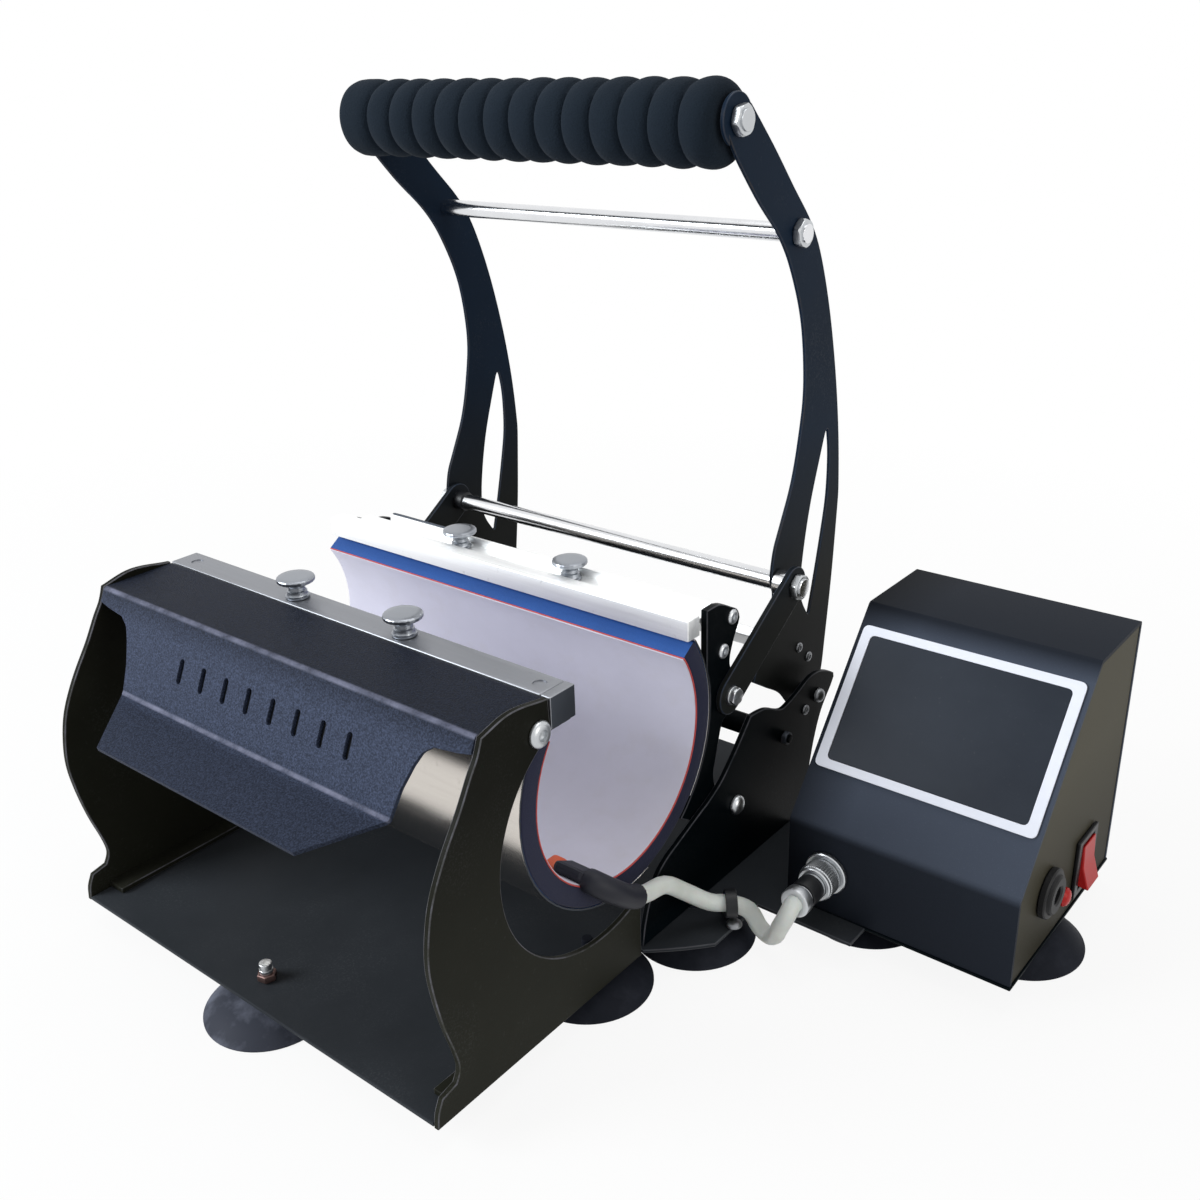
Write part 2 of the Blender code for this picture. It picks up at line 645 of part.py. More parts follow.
def make_cover():
    """One bent sheet: ledge, riser, top, sloping face that narrows to a neck, and the lip."""
    built = bmesh.new()
    rows = []
    for y, z, half in cover_stations():
        rows.append([built.verts.new((-half, y, z)), built.verts.new((half, y, z))])
    for first, second in zip(rows, rows[1:]):
        built.faces.new((first[0], first[1], second[1], second[0]))
    bmesh.ops.recalc_face_normals(built, faces=built.faces)
    mesh = bpy.data.meshes.new("cover")
    built.to_mesh(mesh)
    built.free()
    guide = bpy.data.objects.new("guide", mesh)
    GUIDES.objects.link(guide)
    solidify = guide.modifiers.new("gauge", "SOLIDIFY")
    solidify.thickness = COVER_GAUGE
    solidify.use_even_offset = True
    upward = mesh.polygons[2].normal.z > 0
    solidify.offset = -1 if upward else 1
    bpy.context.view_layer.update()
    sheet = bpy.data.meshes.new_from_object(guide.evaluated_get(bpy.context.evaluated_depsgraph_get()))
    bpy.data.objects.remove(guide, do_unlink=True)
    down = Vector((0, COVER_LIP_FOLD_Y - COVER_FOLD, COVER_LIP_FOLD_Z - COVER_TOP)).normalized()
    outward = Vector((1, 0, 0)).cross(down).normalized()
    middle = Vector((
        VENT_CENTRE_X, COVER_FOLD + (COVER_LIP_FOLD_Y - COVER_FOLD) * VENT_FACE_SHARE,
        COVER_TOP + (COVER_LIP_FOLD_Z - COVER_TOP) * VENT_FACE_SHARE))
    face = Matrix((
        (1, 0, 0, middle.x), (0, -down.y, outward.y, middle.y), (0, -down.z, outward.z, middle.z),
        (0, 0, 0, 1)))
    straight = VENT_SPAN / 2 - VENT_WIDTH / 2
    for index in range(VENT_COUNT):
        x = (index - (VENT_COUNT - 1) / 2) * VENT_PITCH
        slot = [
            *arc((x, straight), VENT_WIDTH / 2, 0.0, math.pi),
            *arc((x, -straight), VENT_WIDTH / 2, math.pi, math.tau)]
        deep = COVER_GAUGE + OVERRUN
        sheet = joined(sheet, sheet_mesh(slot, -deep, deep, face), "DIFFERENCE")
    for x in (-FRONT_THUMB_X, FRONT_THUMB_X):
        hole = circle(THUMB_SHANK_RADIUS + PIN_FIT, (x, CLAMP_BAR_Y))
        tool = sheet_mesh(hole, COVER_LEDGE - COVER_GAUGE - OVERRUN, COVER_LEDGE + OVERRUN, ACROSS_Z)
        sheet = joined(sheet, tool, "DIFFERENCE")
    link_object("front_cover", sheet, BLACK_TEXTURED)


def make_front_clamp():
    low = COVER_LEDGE + FIT
    outline = [
        (-CLAMP_BAR_HALF, CLAMP_BAR_REAR - CLAMP_BAR_DEPTH), (CLAMP_BAR_HALF, CLAMP_BAR_REAR - CLAMP_BAR_DEPTH),
        (CLAMP_BAR_HALF, CLAMP_BAR_REAR), (-CLAMP_BAR_HALF, CLAMP_BAR_REAR)]
    holes = [circle(THUMB_SHANK_RADIUS + PIN_FIT, (x, CLAMP_BAR_Y)) for x in (-FRONT_THUMB_X, FRONT_THUMB_X)]
    plate("front_clamp_bar", outline, low, low + CLAMP_BAR_HEIGHT, STEEL, holes, ACROSS_Z)
    reach = SIDE_PLATE_OUTER + FIT
    middle = [(FRONT_ROD_RADIUS, -reach, reach)]
    profile = rod_profile([(ROD_HEAD_RADIUS, -reach - ROD_HEAD_DEPTH, -reach), *middle,
                           (ROD_HEAD_RADIUS, reach, reach + ROD_HEAD_DEPTH)])
    mesh = turned_mesh(profile, X_AXIS, (0, FRONT_ROD_Y, FRONT_ROD_Z))
    link_object("front_tie_rod", mesh, ZINC)


def thumb_screw(name, x, y, seat, parent=None):
    """A scalloped head on a washered collar, and a shank that goes down through what it clamps."""
    head_low = seat + FIT + THUMB_COLLAR_DEPTH
    profile = rod_profile([
        (THUMB_SHANK_RADIUS, seat - THUMB_SHANK_LENGTH, seat + FIT),
        (THUMB_WASHER_RADIUS, seat + FIT, seat + FIT + THUMB_WASHER_GAUGE),
        (THUMB_COLLAR_RADIUS, seat + FIT + THUMB_WASHER_GAUGE, head_low + THUMB_HEAD_DEPTH / 2)])
    shank = turned_mesh(profile, Z_AXIS, (x, y, 0), sides=HOLE_SIDES)
    outline = []
    for index in range(THUMB_LOBES * 2):
        angle = math.pi * index / THUMB_LOBES
        radius = THUMB_HEAD_RADIUS * (1 - THUMB_LOBE_SHARE * (index % 2))
        outline.append((x + radius * math.cos(angle), y + radius * math.sin(angle)))
    head = sheet_mesh(outline, head_low, head_low + THUMB_HEAD_DEPTH, ACROSS_Z)
    carrier = pivot(f"{name}_axis", y, seat, parent=parent, x=x)
    link_object(name, joined(head, shank), ZINC, carrier)


def make_mat(jaw):
    front = hung_sector(MAT_INNER, MAT_OUTER, MAT_FRONT_ANGLE, MAT_BRIDGE_FRONT_ANGLE)
    plate("mat_front", front, -MAT_HALF, MAT_HALF, FOAM)
    split = MAT_SPLIT / MAT_INNER
    bridge = hung_sector(
        MAT_INNER, BACKING_OUTER, MAT_BRIDGE_FRONT_ANGLE + split, MAT_BRIDGE_REAR_ANGLE - split)
    plate("mat_bridge", bridge, -MAT_HALF, MAT_HALF, FOAM)
    rear = hung_sector(MAT_INNER, MAT_OUTER, MAT_BRIDGE_REAR_ANGLE, MAT_REAR_ANGLE)
    plate("mat_rear", rear, -MAT_HALF, MAT_HALF, FOAM, parent=jaw)
    centre = (0.0, MAT_AXIS_Z)
    outer = arc(centre, BACKING_OUTER, MAT_BRIDGE_FRONT_ANGLE, MAT_FRONT_ANGLE)
    inner = arc(centre, BACKING_INNER, MAT_FRONT_ANGLE, MAT_BRIDGE_FRONT_ANGLE)
    riser = COVER_RISER - COVER_GAUGE - FIT
    hem_foot = outer[-1][1] + BACKING_GAUGE
    hem_top = hem_foot + BACKING_HEM_HEIGHT
    hem = [
        (riser - BACKING_GAUGE, hem_foot), (riser - BACKING_GAUGE, hem_top), (riser, hem_top),
        (riser, hem_foot - BACKING_GAUGE)]
    plate("backing_front", [*outer, *hem, *inner], -MAT_HALF, MAT_HALF, STAINLESS)
    rear = hung_sector(BACKING_INNER, BACKING_OUTER, MAT_BRIDGE_REAR_ANGLE, MAT_REAR_ANGLE)
    plate("backing_rear", rear, -MAT_HALF, MAT_HALF, STAINLESS, parent=jaw)


def make_jaw(jaw):
    centre = (0.0, MAT_AXIS_Z)
    follow = BACKING_OUTER + FIT
    span = (JAW_PIVOT_Y, JAW_TOP - JAW_PIVOT_Z)
    top_angle = math.acos(JAW_FRONT / follow)
    boss = arc((JAW_PIVOT_Y, JAW_PIVOT_Z), JAW_BOSS_RADIUS, math.radians(112), math.radians(-120))
    holes = [
        circle(PIVOT_RADIUS + PIN_FIT, (JAW_PIVOT_Y, JAW_PIVOT_Z)),
        circle(LINK_PIN_RADIUS + LINK_PIN_PLAY, (LINK_PIN_Y, LINK_PIN_Z))]
    for (word, sign), shares in zip(SIDES, (JAW_CREST_LEFT_SHARES, JAW_CREST_RIGHT_SHARES)):
        crest = placed(shares, (0.0, JAW_PIVOT_Z), span)
        back = placed((shares[-1], *JAW_BACK_SHARES), (0.0, JAW_PIVOT_Z), span)
        outline = [*arc(centre, follow, JAW_FOOT_ANGLE, top_angle), *crest[:-1], *curve_through(back), *boss]
        low, high = across(sign, JAW_PLATE_INNER, JAW_PLATE_OUTER)
        plate(f"jaw_plate_{word}", outline, low, high, BLACK_PAINT, holes, parent=jaw)
    bar = box_mesh(
        (-MAT_HALF, JAW_BAR_FRONT, JAW_BAR_UNDERSIDE),
        (MAT_HALF, JAW_BAR_FRONT + JAW_BAR_DEPTH, JAW_BAR_UNDERSIDE + JAW_BAR_HEIGHT), BACKING_GAUGE / 2)
    link_object("jaw_clamp_bar", bar, STEEL, jaw)
    half = JAW_PLATE_INNER - FIT
    front = JAW_BAR_FRONT + JAW_BAR_DEPTH + FIT
    low = CROSSMEMBER_TOP - CROSSMEMBER_GAUGE
    shelf = [(-half, front), (half, front), (half, CROSSMEMBER_REAR), (-half, CROSSMEMBER_REAR)]
    holes = [circle(THUMB_SHANK_RADIUS + PIN_FIT, (x, JAW_THUMB_Y)) for x in (-JAW_THUMB_X, JAW_THUMB_X)]
    mesh = sheet_mesh(shelf, low, CROSSMEMBER_TOP, ACROSS_Z, holes)
    flange = box_mesh(
        (CROSSMEMBER_FLANGE_LEFT, CROSSMEMBER_REAR - CROSSMEMBER_FLANGE_GAUGE, low),
        (half, CROSSMEMBER_REAR, CROSSMEMBER_FLANGE_TOP))
    link_object("jaw_crossmember", joined(mesh, flange), STEEL, jaw)


def make_brackets():
    origin = (JAW_PIVOT_Y, BASE_TOP + FIT)
    span = (HANDLE_PIVOT_Y - JAW_PIVOT_Y, HANDLE_PIVOT_Z - BASE_TOP - FIT)
    foot = placed(BRACKET_FOOT_SHARES, origin, span)
    outline = [
        *curve_through(placed(BRACKET_SHARES, origin, span))[:-1],
        *curve_through(placed(BRACKET_CREST_SHARES, origin, span)),
        *curve_through(placed(BRACKET_BACK_SHARES, origin, span)), *foot]
    holes = [
        circle(PIVOT_RADIUS + PIN_FIT, (JAW_PIVOT_Y, JAW_PIVOT_Z)),
        circle(PIVOT_RADIUS + PIN_FIT, (HANDLE_PIVOT_Y, HANDLE_PIVOT_Z)),
        circle(BRACKET_STUD_RADIUS + PIN_FIT, (BRACKET_ROD_Y, BRACKET_ROD_Z))]
    for word, sign in SIDES:
        low, high = across(sign, BRACKET_INNER, BRACKET_OUTER)
        mesh = sheet_mesh(outline, low, high, ACROSS_X, holes)
        edges = sorted((sign * (BRACKET_INNER + BRACKET_GAUGE / 2), sign * (BRACKET_INNER - BRACKET_FLANGE)))
        flange = box_mesh(
            (edges[0], EAR_REAR, origin[1]), (edges[1], foot[0][0] - BRACKET_FLANGE, origin[1] + BRACKET_GAUGE))
        link_object(f"rear_bracket_{word}", joined(mesh, flange), BLACK_PAINT)
    reach = BRACKET_OUTER + FIT
    shoulder = BRACKET_INNER - FIT
    profile = rod_profile([
        (BRACKET_STUD_RADIUS, -reach - NUT_DEPTH, -shoulder), (BRACKET_ROD_RADIUS, -shoulder, shoulder),
        (BRACKET_STUD_RADIUS, shoulder, reach + NUT_DEPTH)])
    rod = turned_mesh(profile, X_AXIS, (0, BRACKET_ROD_Y, BRACKET_ROD_Z))
    for low, high in ((reach, reach + NUT_DEPTH - FIT), (-reach - NUT_DEPTH + FIT, -reach)):
        rod = joined(rod, nut_mesh(BRACKET_ROD_Y, BRACKET_ROD_Z, low, high, BRACKET_STUD_ACROSS))
    link_object("bracket_tie_rod", rod, BLACK_PAINT)


def pivot_bolt(name, sign, y, z, carried_inner, carried_outer, head):
    """A bolt with its nut: it clamps the bracket and carries a plate that turns inside it."""
    start = carried_inner - FIT
    profile = rod_profile([
        (head, start - PIVOT_HEAD_DEPTH, start), (PIVOT_RADIUS, start, carried_outer + FIT)])[:-1]
    if BRACKET_INNER - carried_outer > 4 * FIT:
        profile += [(head, carried_outer + FIT), (head, BRACKET_INNER - FIT)]
    end = BRACKET_OUTER + FIT
    profile += [
        (PIVOT_RADIUS, BRACKET_INNER - FIT), (PIVOT_RADIUS, end), (head, end),
        (head, end + PIVOT_HEAD_DEPTH * 0.5),
        (head * 0.6, end + PIVOT_HEAD_DEPTH), (0, end + PIVOT_HEAD_DEPTH)]
    link_object(name, turned_mesh(profile, sign * X_AXIS, (0, y, z), sides=HOLE_SIDES), ZINC)


def make_pivot_bolts():
    for word, sign in SIDES:
        pivot_bolt(
            f"handle_pivot_bolt_{word}", sign, HANDLE_PIVOT_Y, HANDLE_PIVOT_Z, ARM_INNER, ARM_OUTER,
            HANDLE_PIVOT_HEAD_RADIUS)
        pivot_bolt(
            f"jaw_pivot_bolt_{word}", sign, JAW_PIVOT_Y, JAW_PIVOT_Z, JAW_PLATE_INNER, JAW_PLATE_OUTER,
            JAW_PIVOT_HEAD_RADIUS)


def arm_outline():
    origin = (HANDLE_PIVOT_Y, HANDLE_PIVOT_Z)
    span = (HANDLE_PIVOT_Y - GRIP_Y, GRIP_Z - HANDLE_PIVOT_Z)
    top = arc((GRIP_Y, GRIP_Z), ARM_END_RADIUS, math.radians(30), math.radians(240))
    return [
        *curve_through(placed(ARM_FRONT_SHARES, origin, span)),
        *placed(ARM_FOOT_SHARES, origin, span)[:-1],
        *curve_through(placed(ARM_HEEL_SHARES, origin, span)),
        *curve_through(placed(ARM_REAR_SHARES, origin, span)), *top]


def arm_slot():
    origin = (HANDLE_PIVOT_Y, HANDLE_PIVOT_Z)
    span = (HANDLE_PIVOT_Y - GRIP_Y, GRIP_Z - HANDLE_PIVOT_Z)
    return [
        *curve_through(placed(ARM_SLOT_FRONT_SHARES, origin, span))[:-1],
        *curve_through(placed(ARM_SLOT_REAR_SHARES, origin, span))[:-1]]


def nutted_rod(name, radius, y, z, handle, start, end, finish, collars=()):
    """A rod across the press, with a nut at each end, and a collar over each given stretch."""
    reach = NUT_DEPTH + ROD_END
    rod = turned_mesh(rod_profile([(radius, start - reach, end + reach)]), X_AXIS, (0, y, z))
    for low, high in ((end, end + NUT_DEPTH), (start - NUT_DEPTH, start)):
        rod = joined(rod, nut_mesh(y, z, low, high))
    for wide, low, high in collars:
        collar = turned_mesh(rod_profile([(wide, low, high)]), X_AXIS, (0, y, z), sides=HOLE_SIDES)
        rod = joined(rod, collar)
    link_object(name, rod, finish, handle)


def make_handle(handle):
    outline = arm_outline()
    centres = (
        ((HANDLE_PIVOT_Y, HANDLE_PIVOT_Z), PIVOT_RADIUS), ((GRIP_Y, GRIP_Z), GRIP_ROD_RADIUS),
        ((UPPER_ROD_Y, UPPER_ROD_Z), UPPER_ROD_RADIUS), ((LOWER_ROD_Y, LOWER_ROD_Z), LOWER_ROD_RADIUS))
    holes = [circle(radius + PIN_FIT, centre) for centre, radius in centres]
    holes.append(arm_slot())
    for word, sign in SIDES:
        low, high = across(sign, ARM_INNER, ARM_OUTER)
        plate(f"handle_arm_{word}", outline, low, high, BLACK_PAINT, holes, parent=handle)
    end = ARM_OUTER + FIT
    nutted_rod("grip_rod", GRIP_ROD_RADIUS, GRIP_Y, GRIP_Z, handle, -end, end, ZINC)
    nutted_rod("upper_rod", UPPER_ROD_RADIUS, UPPER_ROD_Y, UPPER_ROD_Z, handle, -end, end, CHROME)
    collar = LEFT_LINK_INNER - FIT
    collars = [
        (SPACER_RADIUS, end, LINK_INNER - FIT), (COLLAR_RADIUS, -collar, COLLAR_DEPTH - collar)]
    nutted_rod(
        "lower_rod", LOWER_ROD_RADIUS, LOWER_ROD_Y, LOWER_ROD_Z, handle, -end, LINK_OUTER + FIT, CHROME, collars)
    make_grip(handle)
    along = Vector((math.cos(CROSS_BAR_TILT), math.sin(CROSS_BAR_TILT)))
    normal = Vector((-along.y, along.x))
    centre = Vector((CROSS_BAR_Y, CROSS_BAR_Z))
    corners = []
    for u, v in ((-1, -1), (1, -1), (1, 1), (-1, 1)):
        corners.append(tuple(centre + along * (u * CROSS_BAR_DEPTH / 2) + normal * (v * CROSS_BAR_GAUGE / 2)))
    half = ARM_INNER - FIT
    plate("arm_cross_bar", corners, -half, half, ALUMINIUM, parent=handle)


def make_grip(handle):
    """The foam sleeve: a bulge for each rib, turned round its rod."""
    half = GRIP_HALF
    pitch = 2 * half / GRIP_RIBS
    profile = [(GRIP_ROD_RADIUS + PIN_FIT, -half)]
    for index in range(GRIP_RIBS):
        start = -half + index * pitch
        for along in RIB_SHARES:
            bulge = math.sin(math.pi * along) ** 0.5
            profile.append((GRIP_RADIUS - GRIP_GROOVE * (1 - bulge), start + along * pitch))
    profile += [(GRIP_RADIUS - GRIP_GROOVE, half), (GRIP_ROD_RADIUS + PIN_FIT, half)]
    profile.append(profile[0])
    mesh = turned_mesh(profile, X_AXIS, (0, GRIP_Y, GRIP_Z))
    link_object("grip", mesh, FOAM_BLACK, handle)


def make_links(links):
    """The right link hangs outside its arm, the left one inside. Each pin has play in the jaw."""
    upper = Vector((LOWER_ROD_Y, LOWER_ROD_Z))
    lower = Vector((LINK_PIN_Y, LINK_PIN_Z))
    lie = math.atan2(lower.y - upper.y, lower.x - upper.x)
    quarter = math.pi / 2
    outline = [
        *arc(upper, LINK_HALF_WIDTH, lie + quarter, lie + 3 * quarter),
        *arc(lower, LINK_HALF_WIDTH, lie - quarter, lie + quarter)]
    hole = circle(LOWER_ROD_RADIUS + PIN_FIT, upper)
    right_pin = rod_profile([
        (LINK_PIN_RADIUS, JAW_PLATE_INNER - FIT, LINK_OUTER),
        (LINK_PIN_HEAD_RADIUS, LINK_OUTER - FIT, LINK_OUTER + LINK_PIN_HEAD)])
    left_pin = rod_profile([(LINK_PIN_RADIUS, -JAW_PLATE_OUTER - FIT, -LEFT_LINK_INNER)])
    reaches = ((-LEFT_LINK_OUTER, -LEFT_LINK_INNER, left_pin), (LINK_INNER, LINK_OUTER, right_pin))
    for (word, _), (low, high, profile) in zip(SIDES, reaches):
        mesh = sheet_mesh(outline, low, high, ACROSS_X, [hole])
        pin = turned_mesh(profile, X_AXIS, (0, LINK_PIN_Y, LINK_PIN_Z), sides=HOLE_SIDES)
        link_object(f"link_{word}", joined(mesh, pin), BLACK_PAINT, links)


def box_profile(inset):
    """The control box's side outline, drawn in by an even inset."""
    front = BOX_FRONT + inset
    rear = BOX_REAR - inset
    top = BOX_TOP - inset
    slope = math.atan2(BOX_TOP - BOX_FOLD_Z, BOX_BROW_Y - BOX_FRONT)
    fold = BOX_FOLD_Z - inset * math.tan((math.pi / 2 - slope) / 2)
    brow = BOX_BROW_Y + inset * math.tan(slope / 2)
    return [(front, fold), (brow, top), (rear, top)], front, rear


def make_box():
    bends, front, rear = box_profile(0.0)
    inner, inner_front, inner_rear = box_profile(BOX_GAUGE)
    outline = [
        (front, BOX_UNDERSIDE), *bends, (rear, BOX_UNDERSIDE), (inner_rear, BOX_UNDERSIDE), *reversed(inner),
        (inner_front, BOX_UNDERSIDE)]
    shell = sheet_mesh(outline, BOX_INNER_X, BOX_OUTER_X, ACROSS_X)
    bore = sheet_mesh(
        circle(SOCKET_BARREL_RADIUS + PIN_FIT, (SOCKET_X, SOCKET_Z)), -BOX_FRONT - BOX_GAUGE - OVERRUN,
        -BOX_FRONT + OVERRUN, ACROSS_Y)
    link_object("box_shell", joined(shell, bore, "DIFFERENCE"), BOX_PAINT)
    inset, side_front, side_rear = box_profile(BOX_GAUGE + FIT)
    side = [(side_front, BOX_UNDERSIDE), *inset, (side_rear, BOX_UNDERSIDE)]
    low, high = BOX_INNER_X + FIT, BOX_INNER_X + FIT + BOX_GAUGE
    plate("box_side_left", side, low, high, BOX_PAINT)
    high = BOX_OUTER_X - FIT
    half_wide = SWITCH_WIDTH / 2 - SWITCH_WALL + FIT
    half_high = SWITCH_HEIGHT / 2 - SWITCH_WALL + FIT
    window = [
        (SWITCH_Y - half_wide, SWITCH_Z - half_high), (SWITCH_Y + half_wide, SWITCH_Z - half_high),
        (SWITCH_Y + half_wide, SWITCH_Z + half_high), (SWITCH_Y - half_wide, SWITCH_Z + half_high)]
    holes = [
        window, circle(LAMP_RADIUS * 0.7 + PIN_FIT, (LAMP_Y, LAMP_Z)),
        circle(GLAND_RADIUS * 0.7 + PIN_FIT, (GLAND_Y, GLAND_Z))]
    plate("box_side_right", side, high - BOX_GAUGE, high, BOX_PAINT, holes)
    floor = box_mesh(
        (BOX_INNER_X + 2 * FIT + BOX_GAUGE, side_front, BOX_UNDERSIDE),
        (BOX_OUTER_X - 2 * FIT - BOX_GAUGE, side_rear, BOX_UNDERSIDE + BOX_GAUGE))
    hole = sheet_mesh(
        circle(CUP_POST_RADIUS + PIN_FIT, (BOX_CUP_X, BOX_CUP_Y)), BOX_UNDERSIDE - OVERRUN,
        BOX_UNDERSIDE + BOX_GAUGE + OVERRUN, ACROSS_Z)
    link_object("box_floor", joined(floor, hole, "DIFFERENCE"), BOX_PAINT)
    make_panel()


def make_panel():
    """The display panel on the box's sloping face, with rounded corners."""
    run = Vector((0, BOX_BROW_Y - BOX_FRONT, BOX_TOP - BOX_FOLD_Z)).normalized()
    out = Vector((1, 0, 0)).cross(run)
    centre = Vector((BOX_INNER_X + BOX_WIDTH / 2, BOX_FRONT, BOX_FOLD_Z)) + run * PANEL_UP_SLOPE + out * FIT
    face = Matrix((
        (1, 0, 0, centre.x), (0, run.y, out.y, centre.y), (0, run.z, out.z, centre.z), (0, 0, 0, 1)))
    u = PANEL_WIDTH / 2 - PANEL_CORNER
    v = PANEL_HEIGHT / 2 - PANEL_CORNER
    quarter = math.pi / 2
    outline = []
    for index, corner in enumerate(((u, v), (-u, v), (-u, -v), (u, -v))):
        outline += arc(corner, PANEL_CORNER, index * quarter, (index + 1) * quarter)
    plate("display_panel", outline, 0.0, PANEL_GAUGE, PANEL_GLASS, turned=face)


def make_switch():
    half_wide = SWITCH_WIDTH / 2
    half_high = SWITCH_HEIGHT / 2
    body_wide = half_wide - SWITCH_WALL
    body_high = half_high - SWITCH_WALL
    face = BOX_OUTER_X
    flange = box_mesh(
        (face, SWITCH_Y - half_wide, SWITCH_Z - half_high),
        (face + SWITCH_FLANGE, SWITCH_Y + half_wide, SWITCH_Z + half_high))
    body = box_mesh(
        (face - SWITCH_BODY_DEPTH, SWITCH_Y - body_wide, SWITCH_Z - body_high),
        (face + SWITCH_FLANGE / 2, SWITCH_Y + body_wide, SWITCH_Z + body_high))
    housing = joined(flange, body)
    room = ROCKER_WIDTH / 2 + FIT
    bowl_radius = ROCKER_RADIUS + FIT
    bowl = sheet_mesh(
        circle(bowl_radius, (face + ROCKER_PROUD / 2, -SWITCH_Z), CIRCLE_SIDES), SWITCH_Y - room, SWITCH_Y + room,
        ACROSS_ZX)
    sole = face - SWITCH_BODY_DEPTH * 0.6
    keep = box_mesh(
        (sole, SWITCH_Y - room, SWITCH_Z - body_high + FIT),
        (face + SWITCH_FLANGE + OVERRUN, SWITCH_Y + room, SWITCH_Z + body_high - FIT))
    pocket = joined(bowl, keep, "INTERSECT")
    link_object("switch_housing", joined(housing, pocket, "DIFFERENCE"), BLACK_PLASTIC)
    make_rocker(face, body_high)
    seat = face
    lamp = rod_profile([
        (LAMP_RADIUS * 0.7, seat - BOX_GAUGE - LAMP_PROUD, seat), (LAMP_RADIUS, seat, seat + LAMP_PROUD * 0.6)])
    lamp[-1:] = [(LAMP_RADIUS * 0.6, seat + LAMP_PROUD), (0, seat + LAMP_PROUD)]
    link_object("pilot_lamp", turned_mesh(lamp, X_AXIS, (0, LAMP_Y, LAMP_Z), sides=HOLE_SIDES), RED)
    inner = seat - BOX_GAUGE - GLAND_PROUD
    gland = [
        (GLAND_BORE, inner), (GLAND_RADIUS * 0.7, inner), (GLAND_RADIUS * 0.7, seat), (GLAND_RADIUS, seat),
        (GLAND_RADIUS, seat + GLAND_PROUD * 0.55), (GLAND_RADIUS * 0.8, seat + GLAND_PROUD),
        (GLAND_BORE, seat + GLAND_PROUD), (GLAND_BORE, inner)]
    link_object("cord_gland", turned_mesh(gland, X_AXIS, (0, GLAND_Y, GLAND_Z)), BLACK_PLASTIC)


# Local X, Y, Z of an outline turned to world X, Z, -Y
ACROSS_ZX = Matrix(((1, 0, 0, 0), (0, 0, 1, 0), (0, -1, 0, 0), (0, 0, 0, 1)))


def make_rocker(face, body_high):
    """A rocker with two sloping faces, resting with its lower end out."""
    centre = Vector((face + ROCKER_PROUD / 2, SWITCH_Z))
    reach = body_high - 4 * FIT
    drop = math.sqrt(ROCKER_RADIUS ** 2 - reach ** 2)
    proud = ROCKER_PROUD / 2
    shape = [(-drop * 0.45, reach * 0.8), (proud, reach), (proud * 0.4, 0.0), (proud, -reach), (-drop * 0.45, -reach * 0.8)]
    outline = []
    for out, up in shape:
        x = out * math.cos(ROCKER_TILT) - up * math.sin(ROCKER_TILT)
        z = out * math.sin(ROCKER_TILT) + up * math.cos(ROCKER_TILT)
        outline.append((centre.x + x, -(centre.y + z)))
    mesh = sheet_mesh(outline, SWITCH_Y - ROCKER_WIDTH / 2, SWITCH_Y + ROCKER_WIDTH / 2, ACROSS_ZX)
    carrier = pivot("power_rocker_axis", SWITCH_Y, SWITCH_Z, x=centre.x)
    link_object("power_rocker", mesh, RED, carrier)


def make_connector():
    """Panel socket, the plug in it and the ring that locks the two."""
    face = BOX_FRONT
    flange = face - FIT
    barrel = flange - SOCKET_FLANGE_DEPTH
    tip = barrel - SOCKET_BARREL_LENGTH
    socket = rod_profile([
        (SOCKET_BARREL_RADIUS, tip, barrel), (SOCKET_FLANGE_RADIUS, barrel, flange),
        (SOCKET_BARREL_RADIUS, flange, face + BOX_GAUGE + SOCKET_FLANGE_DEPTH)])
    link_object("panel_socket", turned_mesh(socket, Y_AXIS, (SOCKET_X, 0, SOCKET_Z)), ZINC)
    ring_end = barrel - FIT
    ring_start = ring_end - RING_LENGTH
    bore = SOCKET_BARREL_RADIUS + PIN_FIT
    ring = [
        (PLUG_RADIUS + PIN_FIT, ring_start), (RING_RADIUS, ring_start), (RING_RADIUS, ring_end), (bore, ring_end),
        (bore, tip - PIN_FIT), (PLUG_RADIUS + PIN_FIT, tip - PIN_FIT), (PLUG_RADIUS + PIN_FIT, ring_start)]
    carrier = pivot("plug_ring_axis", ring_start, SOCKET_Z, x=SOCKET_X)
    link_object("plug_ring", turned_mesh(ring, Y_AXIS, (SOCKET_X, 0, SOCKET_Z)), ZINC, carrier)
    end = tip - PIN_FIT
    start = end - PLUG_LENGTH
    plug = rod_profile([
        (PLUG_BOOT_RADIUS, start - PLUG_BOOT_LENGTH, start), (PLUG_RADIUS, start, end)])
    link_object("lead_plug", turned_mesh(plug, Y_AXIS, (SOCKET_X, 0, SOCKET_Z)), ZINC)
    return start - PLUG_BOOT_LENGTH


def lead_points(plug_rear):
    """Evenly spaced points on the lead's smooth route, which leaves the terminal and meets the plug square."""
    route = [*LEAD_ROUTE, (SOCKET_X, plug_rear - FIT, SOCKET_Z)]
    fine = [Vector(point) for point in curve_through(route, steps=12)]
    last = Vector(route[-2])
    points = [Vector(route[0]), Vector(route[1])]
    for point in fine[12:-12]:
        if (point - points[-1]).length >= LEAD_SPACING and (point - last).length > LEAD_SPACING / 2:
            points.append(point)
    return [*points, last, fine[-1]]


def make_lead(plug_rear):
    curve = bpy.data.curves.new("lead", "CURVE")
    curve.dimensions = "3D"
    curve.bevel_depth = LEAD_RADIUS
    curve.bevel_resolution = 2
    curve.use_fill_caps = True
    spline = curve.splines.new("POLY")
    points = lead_points(plug_rear)
    spline.points.add(len(points) - 1)
    for target, point in zip(spline.points, points):
        target.co = (*point, 1)
    mesh = mesh_from_curve(curve, Matrix.Identity(4))
    smooth(mesh)
    link_object("heater_lead", mesh, SLEEVE)


